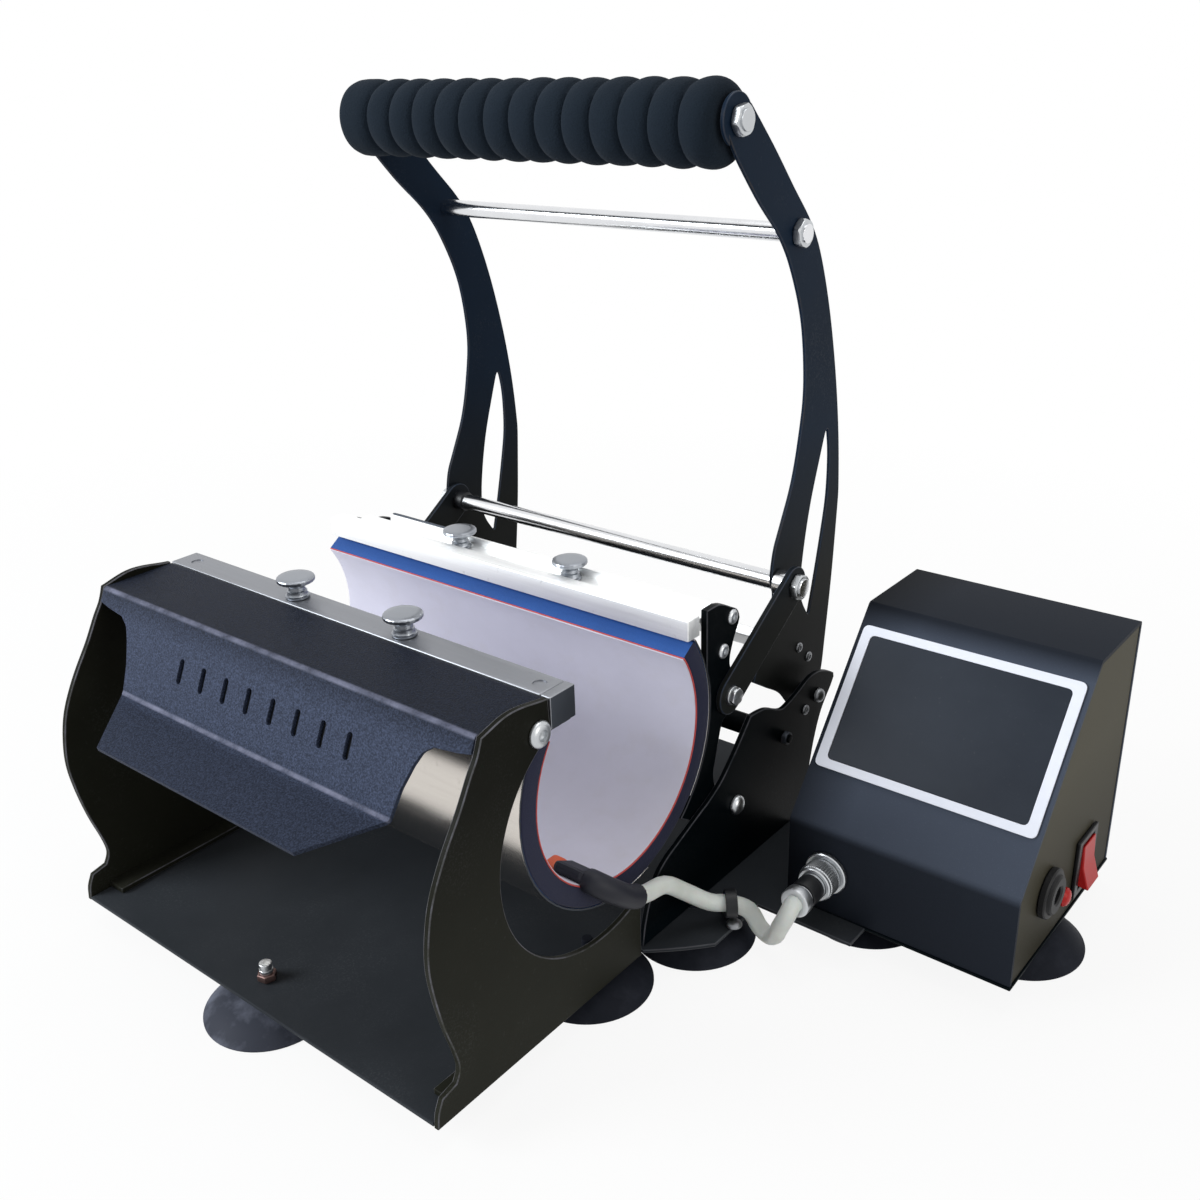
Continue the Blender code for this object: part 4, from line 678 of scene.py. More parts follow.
def slab(loops, low, high, turned=ACROSS_X, edge=0.0004, steps=1):
    """A sheet with eased edges, cut to closed loops, between two planes."""
    curve = bpy.data.curves.new("outline", "CURVE")
    curve.dimensions = "2D"
    curve.fill_mode = "BOTH"
    edge = min(edge, (high - low) * 0.4)
    curve.extrude = (high - low) / 2 - edge
    curve.bevel_depth = edge
    curve.bevel_resolution = steps
    curve.offset = -edge
    for loop in loops:
        spline = curve.splines.new("POLY")
        spline.points.add(len(loop) - 1)
        for corner, (u, v) in zip(spline.points, loop):
            corner.co = (u, v, 0, 1)
        spline.use_cyclic_u = True
    mesh = evaluated(linked("guide", curve))
    mesh.transform(turned @ Matrix.Translation((0, 0, (high + low) / 2)))
    return shaded(cleaned(mesh))


def painted(name, mesh, axis, shade, node):
    """A painted sheet whose eased edges carry a painted highlight."""
    stand_in(name, mesh, powder_coat(shade), node)
    second_finish(
        mesh, rubbed_edge(shade), lambda face: 0.12 < abs(face.normal[axis]) < 0.97 and face.area < 4e-5)


def circle(radius, centre=(0.0, 0.0), sides=48, turn=0.0):
    return [
        (centre[0] + radius * math.cos(turn + math.tau * i / sides),
         centre[1] + radius * math.sin(turn + math.tau * i / sides)) for i in range(sides)]


def arc(centre, radius, start, end, count):
    """Points along an arc, both ends included, with angles in degrees."""
    angles = [math.radians(start + (end - start) * index / count) for index in range(count + 1)]
    return [(centre[0] + radius * math.cos(a), centre[1] + radius * math.sin(a)) for a in angles]


def flat_loops(node, axis, painted_cover_shade):
    """The closed outlines of a CAD node's flat face, followed along the walls that meet it."""
    built = opened(NODES[node].data)
    on_face = {vert for vert in built.verts if abs(vert.co[axis] - painted_cover_shade) < 2e-5}
    after = {}
    for face in built.faces:
        if not on_face.issuperset(face.verts):
            for loop in face.loops:
                if loop.vert in on_face and loop.link_loop_next.vert in on_face:
                    after.setdefault(loop.link_loop_next.vert, []).append(loop.vert)
    kept = [k for k in range(3) if k != axis]
    loops = []
    while after:
        start = here = next(iter(after))
        points, heading = [], Vector()
        while here in after and not (points and here == start):
            points.append(tuple(here.co[k] for k in kept))
            there = min(after[here], key=lambda vert: heading.angle(vert.co - here.co, 0.0))
            after[here].remove(there)
            if not after[here]:
                del after[here]
            heading, here = there.co - here.co, there
        if len(points) > 2:
            loops.append(points)
    built.free()
    return loops


def drawn_in(loop, share):
    """A loop made smaller about its middle."""
    middle = sum((Vector(p) for p in loop), Vector((0, 0))) / len(loop)
    return [tuple(middle + (Vector(p) - middle) * share) for p in loop]


def sheet_like(node, outer, gauge, axis=0, edge=0.0004, holes=1.0):
    """A CAD sheet drawn again with smooth curves and eased edges; its rod holes can be drawn in."""
    loops = flat_loops(node, axis, outer)
    loops = [eased(drawn_in(loop, holes) if len(loop) < 14 else loop) for loop in loops]
    low, high = sorted((outer, outer - math.copysign(gauge, outer)))
    return slab(loops, low, high, ACROSS_X if axis == 0 else FLAT, edge)


def block(low, high, edge=0.0005):
    """A bar or block with eased edges."""
    built = bmesh.new()
    bmesh.ops.create_cube(built, size=1.0)
    bmesh.ops.scale(built, vec=[b - a for a, b in zip(low, high)], verts=built.verts)
    bmesh.ops.translate(built, vec=[(a + b) / 2 for a, b in zip(low, high)], verts=built.verts)
    bmesh.ops.bevel(built, geom=built.edges, offset=edge, segments=3, profile=0.5, affect="EDGES")
    return shaded(wrapped(built), 26.0)


def bridged(built, rings):
    """Faces from each ring of points to the next one, where a single point is a tip."""
    for first, second in zip(rings, rings[1:]):
        sides = max(len(first), len(second))
        for index in range(sides):
            follow = (index + 1) % sides
            corners = [first[index % len(first)], first[follow % len(first)]]
            corners += [second[follow % len(second)], second[index % len(second)]]
            corners = list(dict.fromkeys(corners))
            if len(corners) > 2:
                built.faces.new(corners)


def turned(profile, axis, origin, sides=64):
    """A solid turned from (radius, height) points."""
    built = bmesh.new()
    rings = []
    for radius, height in profile:
        ring = [(0, 0)] if radius < 1e-7 else circle(radius, sides=sides)
        rings.append([built.verts.new((u, v, height)) for u, v in ring])
    bridged(built, rings)
    bmesh.ops.recalc_face_normals(built, faces=built.faces)
    mesh = wrapped(built)
    turn = Z_AXIS.rotation_difference(axis).to_matrix().to_4x4()
    mesh.transform(Matrix.Translation(origin) @ turn)
    return shaded(mesh, 30.0)


def shaft(sections, place, axis=X_AXIS, ease=0.0004, sides=48):
    """A solid shaft of (radius, start, end) lengths with eased corners."""
    profile = [(0.0, sections[0][1])]
    for radius, start, end in sections:
        profile += [(radius, start), (radius, end)]
    profile.append((0.0, sections[-1][2]))
    return turned(filleted(profile, ease, closed=False, steps=3), axis, place, sides)


def knurled(mesh, place, axis, rim, depth, ridges, phase):
    """Presses ridges into the rim of a turned piece."""
    for vertex in mesh.vertices:
        out = vertex.co - place
        out -= axis * out.dot(axis)
        if out.length > rim:
            side = out.z if axis == Y_AXIS else out.y
            ridge = math.cos(math.atan2(side, out.x) * ridges)
            vertex.co -= out.normalized() * depth * (1 + phase * ridge)


def folded(rows):
    """A bent 2 mm sheet over rows of points, thickened inwards from its outer face."""
    built = bmesh.new()
    rows = [[built.verts.new(place) for place in row] for row in rows]
    for first, second in zip(rows, rows[1:]):
        for corners in zip(first, first[1:], second[1:], second):
            built.faces.new(corners)
    bmesh.ops.recalc_face_normals(built, faces=built.faces)
    top = max(built.faces, key=lambda face: face.calc_center_median().z)
    if top.normal.z < 0:
        bmesh.ops.reverse_faces(built, faces=built.faces)
    sheet = linked("guide", wrapped(built))
    solidify = sheet.modifiers.new("gauge", "SOLIDIFY")
    solidify.thickness = 0.002
    solidify.offset = -1
    solidify.use_even_offset = True
    return evaluated(sheet)


def ease_edges(piece, width):
    """Rounds the cut edges of a bent sheet."""
    ease = piece.modifiers.new("edge", "BEVEL")
    ease.width = width
    ease.segments = 2
    ease.limit_method = "ANGLE"
    ease.angle_limit = math.radians(50)


def refined(node, edge=0.0003):
    """A CAD node's own shape with its sharp edges eased."""
    built = opened(NODES[node].data)
    bmesh.ops.dissolve_limit(
        built, angle_limit=math.radians(1.0), verts=built.verts, edges=built.edges, delimit={"NORMAL"})
    sharp = [e for e in built.edges if e.is_manifold and e.calc_face_angle(0.0) > math.radians(40)]
    bmesh.ops.bevel(
        built, geom=sharp, offset=edge, segments=2, profile=0.5, affect="EDGES", clamp_overlap=True)
    return shaded(wrapped(built), 24.0)


def joined(target, tool, operation="DIFFERENCE"):
    """One mesh cut, joined or trimmed by another."""
    first, second = linked("guide", target), linked("guide", tool)
    modifier = first.modifiers.new("join", "BOOLEAN")
    modifier.operation = operation
    modifier.object = second
    mesh = evaluated(first)
    bpy.data.objects.remove(second, do_unlink=True)
    return mesh


def nut(place, low, high, across=0.013, turn=0.0):
    """A hexagon nut with chamfered corners, on a rod across the press."""
    body = slab([circle(across / math.sqrt(3), (place.y, place.z), 6, turn)], low, high, ACROSS_X, 0.0003)
    half = (high - low) / 2
    flat = across / 2
    wide = flat * 1.12
    profile = [(0, -half), (flat, -half), (wide, -half * 0.55), (wide, half * 0.55), (flat, half), (0, half)]
    tool = turned(profile, X_AXIS, ((low + high) / 2, place.y, place.z))
    return shaded(joined(body, tool, "INTERSECT"), 24.0)


def dome(x, y, z, radius, proud, sign, socket=True):
    """A button-head screw with a hexagon socket, on a face across the press."""
    crown = [(0.0, 0.0), (radius, 0.0), (radius, proud * 0.25)]
    for step in range(1, 7):
        angle = math.pi / 2 * step / 6
        crown.append((radius * math.cos(angle) * 0.98, proud * (0.25 + 0.75 * math.sin(angle))))
    if socket:
        crown = crown[:6]
        well = radius * 0.42
        crown += [(well, crown[-1][1]), (well * 0.9, proud * 0.35), (0.0, proud * 0.35)]
    return turned(crown, X_AXIS * sign, point(x, y, z), 32)


# Pieces


# The outer faces of the base and of the sheets beside the cradle, and where their feet lie on the base
BASE_FACE = 0.0165
SIDE_FACE, BRACKET_FACE, JAW_FACE, ARM_FACE = 0.135, 0.1337, 0.130, 0.1224
FOOT_LOW, FOOT_HIGH = 0.0168, 0.0198


def footed(node, face, foot, run):
    """A side sheet with the foot that is folded in from it and lies on the base."""
    edge = bpy.context.scene.press_sizes.sheet_edge
    low, high = sorted(math.copysign(place, face) for place in foot)
    base = block((low, run[0], FOOT_LOW), (high, run[1], FOOT_HIGH), edge)
    return merged(sheet_like(node, face, 0.003, 0, edge), base)


def make_plates():
    """Base, side plates, brackets, jaw plates and arms."""
    edge = bpy.context.scene.press_sizes.sheet_edge
    painted("base_sheet", sheet_like("base_plate", BASE_FACE, 0.002, 2, edge), 2, "deck", "base_plate")
    for word, sign in SIDES:
        side = f"front_side_plate_{word}"
        sheet = footed(side, sign * SIDE_FACE, (0.1332, 0.1200), (0.0255, 0.1435))
        painted(f"side_sheet_{word}", sheet, 0, "frame", side)
        # The brackets and jaw plates take the darker copy of the black, as painted shade
        bracket = f"rear_bracket_{word}"
        sheet = footed(bracket, sign * BRACKET_FACE, (0.1320, 0.1187), (0.2305, 0.3065))
        painted(f"bracket_sheet_{word}", sheet, 0, "deep", bracket)
        jaw = f"jaw_plate_{word}"
        painted(f"jaw_sheet_{word}", sheet_like(jaw, sign * JAW_FACE, 0.004, 0, edge), 0, "deep", jaw)
        arm = f"handle_arm_{word}"
        painted(f"arm_sheet_{word}", sheet_like(arm, sign * ARM_FACE, 0.002, 0, edge, 0.8), 0, "arm", arm)


def make_links():
    """The links, with the pins that their lower ends carry."""
    edge = bpy.context.scene.press_sizes.sheet_edge
    place = point(0, 86.6, 125.5)
    painted("link_sheet_left", sheet_like("link_left", -0.1201, 0.003, 0, edge), 0, "arm", "link_left")
    pin = shaft([(0.0040, -0.1303, -0.1168)], place, ease=0.0006)
    settle("link_pin_left", pin, zinc(), "links", "zinc_plate")
    painted("link_sheet_right", sheet_like("link_right", 0.1334, 0.003, 0, edge), 0, "arm", "link_right")
    pin = shaft([(0.0040, 0.1257, 0.1331), (0.0050, 0.1331, 0.1346)], place, ease=0.0005)
    head = nut(place, 0.1346, 0.1374, 0.0086, 0.2)
    settle("link_pin_right", merged(pin, head), zinc(), "links", "zinc_plate")


# The cover's outer face in millimetres, back and up: the lip under the bar, the step, the top and the slope
COVER_RUN = ((113.0, 168.7), (97.1, 168.7), (97.1, 184.6), (55.5, 184.6), (36.0, 142.2), (4.7, 133.8))
COVER_FOLDS = COVER_RUN[3:5]
COVER_TOP_HALF = 131.6
# Half the cover's width at heights on its slope
COVER_WIDTHS = (
    (184.6, COVER_TOP_HALF), (176.8, COVER_TOP_HALF), (175.3, 112.5), (171.5, 106.4), (165.0, 103.0),
    (155.0, 99.4), (142.2, 97.2), (133.8, 72.5))
COVER_COLUMNS = 12
SLOTS, SLOT_PITCH, SLOT_REACH, SLOT_RADIUS = 8, 0.01725, 0.0045, 0.00175
# Where the thumb screws stand: across on either side, back, and the height of the face under them
THUMB_SCREWS = {"front": (0.0385, 0.1055, 0.1843), "jaw": (0.0405, 0.222, 0.173)}


def cover_half(y, z):
    """Half the cover's width at a place on its face."""
    if y > 55.0:
        return COVER_TOP_HALF
    for (high, wide), (low, narrow) in zip(COVER_WIDTHS, COVER_WIDTHS[1:]):
        if low <= z <= high:
            return narrow + (wide - narrow) * (z - low) / (high - low)
    return COVER_WIDTHS[-1][1]


def cover_rows():
    """The cover's face as rows of points, close enough together to follow its folds."""
    rounded = filleted(COVER_RUN, 2.6, closed=False, steps=6)
    run = []
    for (y, z), (next_y, next_z) in zip(rounded, rounded[1:]):
        count = max(1, round(math.hypot(next_y - y, next_z - z) / 1.5))
        run += [(y + (next_y - y) * i / count, z + (next_z - z) * i / count) for i in range(count)]
    run.append(rounded[-1])
    columns = range(-COVER_COLUMNS, COVER_COLUMNS + 1)
    return [[(x * cover_half(y, z) / COVER_COLUMNS * MM, y * MM, z * MM) for x in columns] for y, z in run]


def screw_holes(group):
    """The outlines of the two holes for a pair of thumb screws."""
    x, y, _ = THUMB_SCREWS[group]
    return [circle(0.0033, (side, y)) for side in (-x, x)]


def make_cover():
    """The bent front cover with its row of slots, and a dark sheet behind them that paints the shade in the
    slots.
    """
    (high_y, high_z), (low_y, low_z) = COVER_FOLDS
    down = Vector((0, low_y - high_y, low_z - high_z)).normalized()
    middle = Vector((4.0, high_y + (low_y - high_y) * 0.53, high_z + (low_z - high_z) * 0.53)) * MM
    face = axes_at(middle, X_AXIS, -down, X_AXIS.cross(down))
    tools = []
    for index in range(SLOTS):
        x = (index - (SLOTS - 1) / 2) * SLOT_PITCH
        slot = arc((x, SLOT_REACH), SLOT_RADIUS, 0, 180, 10)
        slot += arc((x, -SLOT_REACH), SLOT_RADIUS, 180, 360, 10)
        tools.append(slab([slot], -0.006, 0.006, face, 0.0))
    mesh = joined(folded(cover_rows()), merged(*tools))
    # Painted shade: a dark sheet behind the slots so that they look dark
    slot_shade_plate = slab([rounded_box(0.072, 0.010, 0.002)], 0.0021, 0.0033, face, 0.0002)
    settle("cover_liner", slot_shade_plate, black_plastic(), "root", "black_plastic")
    holes = [slab([hole], 0.160, 0.172, FLAT, 0.0) for hole in screw_holes("front")]
    mesh = joined(mesh, merged(*holes))
    piece = stand_in("cover_sheet", shaded(cleaned(mesh), 30.0), textured_coat(), "front_cover")
    ease_edges(piece, bpy.context.scene.press_sizes.sheet_edge)


def make_front_bar():
    """The front clamp bar with its screw plugs, and its right end face painted dark as shade."""
    (left, front, under), (right, rear, top) = (-0.1345, 0.0975, 0.1690), (0.1345, 0.1135, 0.1843)
    body = block((left, front, under), (0.1288, rear, top), 0.0007)
    for x in (-0.122, 0.122):
        body = joined(body, slab([circle(0.0032, (x, 0.1052))], 0.1838, 0.1860, FLAT, 0.0))
    bar = shaded(merged(body, block((0.1290, front, under), (right, rear, top), 0.0006)), 30.0)
    stand_in("front_bar", bar, steel(), "front_clamp_bar")
    # Painted shade: the right end face darker
    second_finish(bar, dull_steel(), lambda face: face.normal.x > 0.9 and face.center.x > 0.134)


def make_bars():
    """The two clamp bars, the jaw's crossmember and the arms' cross bar."""
    make_front_bar()
    # The jaw bar and its shelf are near-white steel: painted glare
    bar = block((-0.130, 0.2032, 0.1673), (0.130, 0.2132, 0.1783), 0.0006)
    stand_in("jaw_bar", bar, bar_white(), "jaw_clamp_bar")
    end, front, rear = 0.1257, 0.2135, 0.2305
    shelf = [(-end, front), (end, front), (end, rear), (-end, rear)]
    plate = slab([shelf, *screw_holes("jaw")], 0.170, 0.173, FLAT, 0.0004)
    flange = block((-0.1060, 0.2290, 0.1705), (0.1255, rear, 0.1776), 0.0003)
    stand_in("jaw_shelf", merged(plate, flange), bar_white(), "jaw_crossmember")
    rim = (
        (-106.3, 170.8), (-106.3, 174.5), (-105.0, 177.0), (-101.5, 177.8), (-80.0, 177.8), (-60.0, 177.8))
    rim = tube(smooth_route([point(x, 80.2, z) for x, z in rim], 4), 0.0007)
    settle("shelf_rim", rim, dull_steel(), "jaw", "satin_steel")
    stand_in("arm_bar", refined("arm_cross_bar", 0.0006), aluminium(), "arm_cross_bar")


def make_thumb_screw(node, place):
    """A mushroom head on a flared collar with its washer."""
    profile = [
        (0.0, -0.0197), (0.0026, -0.0197), (0.0030, -0.0190), (0.0030, 0.0004), (0.0060, 0.0004),
        (0.0061, 0.0007), (0.0061, 0.0014), (0.0053, 0.0017), (0.0050, 0.0026), (0.0050, 0.0038),
        (0.0043, 0.0043), (0.0041, 0.0058), (0.0049, 0.0072), (0.0072, 0.0082), (0.0090, 0.0087),
        (0.0095, 0.0091), (0.0096, 0.0096), (0.0096, 0.0105), (0.0093, 0.0110), (0.0086, 0.0113),
        (0.0060, 0.0114), (0.0, 0.0114)]
    screw = turned(profile, Z_AXIS, place, 72)
    knurled(screw, place, Z_AXIS, 0.0088, 0.00014, 24, 1)
    stand_in(f"{node}_head", screw, thumb_zinc(), node)


def make_thumb_screws():
    for word, sign in SIDES:
        for group, (x, y, seat) in THUMB_SCREWS.items():
            make_thumb_screw(f"{group}_thumb_screw_{word}", Vector((sign * x, y, seat)))


MAT_COLUMNS = 26
MAT_STEP_DEGREES = 2.5


def mat_strip(inner, outer, start, end, half, skew=0.0):
    """A strip hung round the cradle's axis, closed, with soft corners."""
    ease = min(1.0, (outer - inner) * 0.35)
    ring = filleted([(-half, inner), (half, inner), (half, outer), (-half, outer)], ease, steps=3)
    section = []
    for (x, r), (next_x, next_r) in zip(ring, ring[1:] + ring[:1]):
        parts = MAT_COLUMNS if abs(next_x - x) > half else 1
        section += [(x + (next_x - x) * i / parts, r + (next_r - r) * i / parts) for i in range(parts)]
    count = max(2, round(abs(end - start) / MAT_STEP_DEGREES))
    built = bmesh.new()
    rows = []
    for step in range(count + 1):
        degrees = start + (end - start) * step / count
        angle = math.radians(degrees)
        pull = ease * 0.5 if step in (0, count) else 0.0
        row = []
        for x, r in section:
            sag = 0.35 * math.sin(degrees * 0.11 + x * 0.035) * math.sin(x * 0.061 + 1.0) * (r < inner + 0.1)
            near = math.copysign(min(abs(x), half - pull), x)
            r = min(max(r + sag * skew, inner - 0.6 + pull), outer - pull)
            row.append(built.verts.new(point(near, r * math.cos(angle), CRADLE_Z + r * math.sin(angle))))
        rows.append(row)
    bridged(built, rows)
    built.faces.new(rows[0])
    built.faces.new(list(reversed(rows[-1])))
    bmesh.ops.recalc_face_normals(built, faces=built.faces)
    return shaded(wrapped(built), 40.0)


def bend_with_jaw(piece):
    """Bakes the piece's placing into its mesh. The two places, at the end of the front backing and the start
    of the rear one, are worked out but not used.
    """
    point(0, 17, 62.7)
    point(0, 50.2, 83.9)
    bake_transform(piece)


def hang(name, mesh, material):
    """A layer of the mat, in one piece from end to end."""
    layer = linked(name, mesh)
    mesh.materials.append(material)
    bend_with_jaw(layer)
    return layer


def make_mat():
    """Foam, the red line round it and the pale face that heats the tumbler."""
    foam = hang("mat_foam", mat_strip(60.5, 70.5, 145.0, 394.5, 130.0), foam_blue("foam"))
    second_finish(foam.data, foam_blue("foam_end"), lambda face: abs(face.normal.x) > 0.6)
    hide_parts("mat_front", "mat_bridge", "mat_rear")
    hang("mat_glue_line", mat_strip(60.0, 60.55, 145.2, 394.3, 129.9), red_glue())
    hang("mat_face", mat_strip(59.4, 60.05, 145.6, 393.9, 129.3, 0.4), coated_face())


def make_backing():
    """Stainless sheets behind the foam, their cut ends painted dark as shade."""
    for word in ("front", "rear"):
        sheet = refined(f"backing_{word}", 0.0002)
        stand_in(f"backing_sheet_{word}", sheet, stainless(), f"backing_{word}")
        # Painted shade: the cut ends darker
        second_finish(sheet, dull_steel(), lambda face: abs(face.normal.x) > 0.5)


def grip_profile(half, ribs):
    """Half-round bulges with narrow grooves, the two end ones rounded over."""
    pitch = 2 * half / ribs
    outer, groove, end_groove = 0.0200, 0.0032, 0.0055
    bore = 0.0053 + bpy.context.scene.press_sizes.grip_sag
    profile = [
        (bore, -half), (0.0138, -half), (0.0146, -half - 0.0026), (0.0160, -half - 0.0046),
        (0.0176, -half - 0.0048), (0.0190, -half - 0.0032), (0.0198, -half - 0.0004),
        (outer, -half + 0.0030)]
    for rib in range(ribs):
        for step in range(13):
            share = step / 12
            if rib == 0 and share < 0.5:
                continue
            depth = end_groove if rib == ribs - 1 and share > 0.5 else groove
            radius = outer - depth * (1 - math.sin(math.pi * share) ** 0.55)
            profile.append((radius, -half + rib * pitch + share * pitch))
    profile += [(0.0135, half), (bore, half)]
    return profile


def make_grip():
    """The foam sleeve with its ribs, slightly uneven as moulded foam is."""
    sizes = bpy.context.scene.press_sizes
    profile = grip_profile(0.1181, sizes.grip_ribs)
    profile.append(profile[0])
    origin = point(0, 102.5, 400.5) - Z_AXIS * sizes.grip_sag
    mesh = turned(profile, X_AXIS, origin, 72)
    for vertex in mesh.vertices:
        out = vertex.co - Vector((vertex.co.x, origin.y, origin.z))
        if out.length > 0.016:
            angle = math.atan2(out.z, out.y)
            wave = math.sin(angle * 3 + vertex.co.x * 70) * math.sin(vertex.co.x * 190 + 2.0)
            vertex.co += out.normalized() * (wave * 0.00022 - 0.00022)
    stand_in("grip_sleeve", shaded(mesh, 60.0), grip_foam(), "grip")


# Where the rods' nuts start, how thick they are and how far the rods stand out past the first number
ROD_NUT, NUT_HIGH, ROD_PROUD = 0.1227, 0.0042, 0.0052


def nutted_rod(node, radius, y, z, finish, right=ROD_NUT, sections=None):
    """A rod across the handle with a nut at each end."""
    sections = sections or [(radius, -ROD_NUT - ROD_PROUD, right + ROD_PROUD)]
    place = point(0, y, z)
    stand_in(f"{node}_bar", shaft(sections, place, ease=0.0005), finish, node)
    first = nut(place, -ROD_NUT - NUT_HIGH, -ROD_NUT, turn=0.9 + y)
    second = nut(place, right, right + NUT_HIGH, turn=0.3 + y)
    settle(f"{node}_nuts", merged(first, second), zinc(), "handle", "zinc_plate")


def make_rods():
    """Rods across the handle with their nuts, and the lower one's collar."""
    nutted_rod("grip_rod", 0.005, 102.5, 400.5, zinc())
    nutted_rod("upper_rod", 0.0047, 157.5, 345.5, chrome())
    sections = [(0.005, -ROD_NUT - ROD_PROUD, ROD_NUT), (0.0075, ROD_NUT, 0.1301), (0.005, 0.1301, 0.1389)]
    nutted_rod("lower_rod", 0.005, 147.0, 165.0, chrome(), 0.1337, sections)
    collar = shaft([(0.0060, -0.1168, -0.1098)], point(0, 147.0, 165.0), ease=0.0006)
    settle("rod_collar", collar, black_plastic(), "handle", "black_plastic")


def pivot(node, sign, y, z, head, start, shoulder, finish):
    """A bolt with a domed head outside its bracket and a collar where it carries a plate."""
    end, core = 0.1340, 0.003
    sections = [(head, start - 0.004, start), (core, start, shoulder)]
    if end - shoulder > 0.004:
        sections.append((head, shoulder, end - 0.0036))
    sections.append((core, sections[-1][2], end))
    bolt = shaft(sections, point(0, y, z), X_AXIS * sign, sides=40)
    crown = dome(sign * end / MM, y, z, head, 0.0040, sign, socket=False)
    stand_in(f"{node}_turned", merged(bolt, crown), finish, node)


def make_tie_rods():
    """The front tie rod with its heads, and the painted rod between the brackets."""
    rod = shaft([(0.0062, -0.1388, -0.1353), (0.0045, -0.1353, 0.1353)], point(0, -62, 171.5))
    head = dome(135.3, -62, 171.5, 0.0062, 0.0035, 1)
    stand_in("front_rod", merged(rod, head), zinc(), "front_tie_rod")
    place = point(0, 139, 77)
    sections = [(0.0025, -0.1382, -0.1304), (0.006, -0.1304, 0.1304), (0.0025, 0.1304, 0.1382)]
    # The rod takes the darker copy of the black, as painted shade
    stand_in("bracket_rod", shaft(sections, place), powder_coat("deep"), "bracket_tie_rod")
    heads = [nut(place, *sorted((sign * 0.1340, sign * 0.1372)), 0.007, 0.4) for _, sign in SIDES]
    settle("bracket_rod_heads", merged(*heads), dull_steel(), "root", "zinc_plate")


def make_side_fasteners(word, sign):
    """Pivot bolts and button-head screws on one side."""
    pivot(f"handle_pivot_bolt_{word}", sign, 175, 88, 0.0042, 0.1201, 0.1227, dull_zinc())
    pivot(f"jaw_pivot_bolt_{word}", sign, 91, 58, 0.0055, 0.1257, 0.1303, zinc())
    places = ((83, 151), (91, 167)) if sign > 0 else ((83, 151),)
    screws = [dome(sign * JAW_FACE / MM, y, z, 0.0040, 0.0022, sign) for y, z in places]
    settle(f"jaw_screws_{word}", merged(*screws), zinc(), "jaw", "zinc_plate")
    places = ((172, 116), (183, 106))
    screws = [dome(sign * ARM_FACE / MM, y, z, 0.0030, 0.0016, sign) for y, z in places]
    settle(f"arm_screws_{word}", merged(*screws), dull_zinc(), "handle", "zinc_plate")
    screw = dome(sign * BRACKET_FACE / MM, 162, 84, 0.0030, 0.0018, sign)
    settle(f"bracket_screw_{word}", screw, dull_zinc(), "root", "zinc_plate")


def make_cup_nut():
    """The rusty nut and the bright stud of the front cup, on the base."""
    x, y = 0.0, 0.0295
    hexagon = slab([circle(0.0049, (x, y), 6, 0.2)], 0.0168, 0.0206, FLAT, 0.0005, 2)
    stand_in("front_cup_hex", hexagon, rusted_zinc(), "front_cup_nut")
    stud = [(0.0034, 0.0206, 0.0228), (0.0031, 0.0228, 0.0264)]
    tip = shaft(stud, Vector((x, y, 0)), Z_AXIS, 0.0006, 32)
    settle("front_cup_tip", tip, zinc(), "root", "zinc_plate")


def make_fasteners():
    make_tie_rods()
    for word, sign in SIDES:
        make_side_fasteners(word, sign)
    make_cup_nut()


# The box's outside in millimetres: across, back, and up, with the slope from the fold to the brow
BOX_LEFT, BOX_RIGHT = 169.0, 291.0
BOX_FRONT, BOX_BROW, BOX_REAR = 238.5, 313.5, 370.5
BOX_UNDER, BOX_FOLD, BOX_TOP = 16.8, 65.0, 159.3
CHEEK_FACES = {"left": 0.1713, "right": 0.2907}


def on_plug_axis(y):
    """A place on the line through the plug and its socket."""
    return Vector((0.192, y, 0.041))


def make_box():
    """The bent shell, its side panels and its floor."""
    outer = [
        (BOX_FRONT, BOX_UNDER), (BOX_FRONT, BOX_FOLD), (BOX_BROW, BOX_TOP), (BOX_REAR, BOX_TOP),
        (BOX_REAR, BOX_UNDER)]
    rounded = filleted([(y * MM, z * MM) for y, z in outer], 0.0026, closed=False, steps=6)
    shell = folded([[(x * MM, y, z) for x in (BOX_LEFT, BOX_RIGHT)] for y, z in rounded])
    bore = [(0, -0.01), (0.0078, -0.01), (0.0078, 0.01), (0, 0.01)]
    shell = joined(shell, turned(bore, Y_AXIS, on_plug_axis(BOX_FRONT * MM)))
    piece = stand_in("box_skin", shaded(cleaned(shell), 30.0), box_paint("box"), "box_shell")
    ease_edges(piece, 0.0004)
    for word, face in CHEEK_FACES.items():
        node = f"box_side_{word}"
        stand_in(f"box_cheek_{word}", sheet_like(node, face, 0.002), box_paint("cheek"), node)
    # The box's floor and tray take the darker copy of the black, as painted shade
    stand_in("box_bottom", refined("box_floor"), powder_coat("deep"), "box_floor")
    tray = block((0.1686, 0.2376, 0.0151), (0.2916, 0.3708, 0.0167))
    settle("box_tray", tray, powder_coat("deep"), "root", "charcoal_paint")


def rounded_box(u, v, radius):
    """A rectangle with rounded corners, from its half sizes."""
    return filleted([(-u, -v), (u, -v), (u, v), (-u, v)], radius, steps=6)


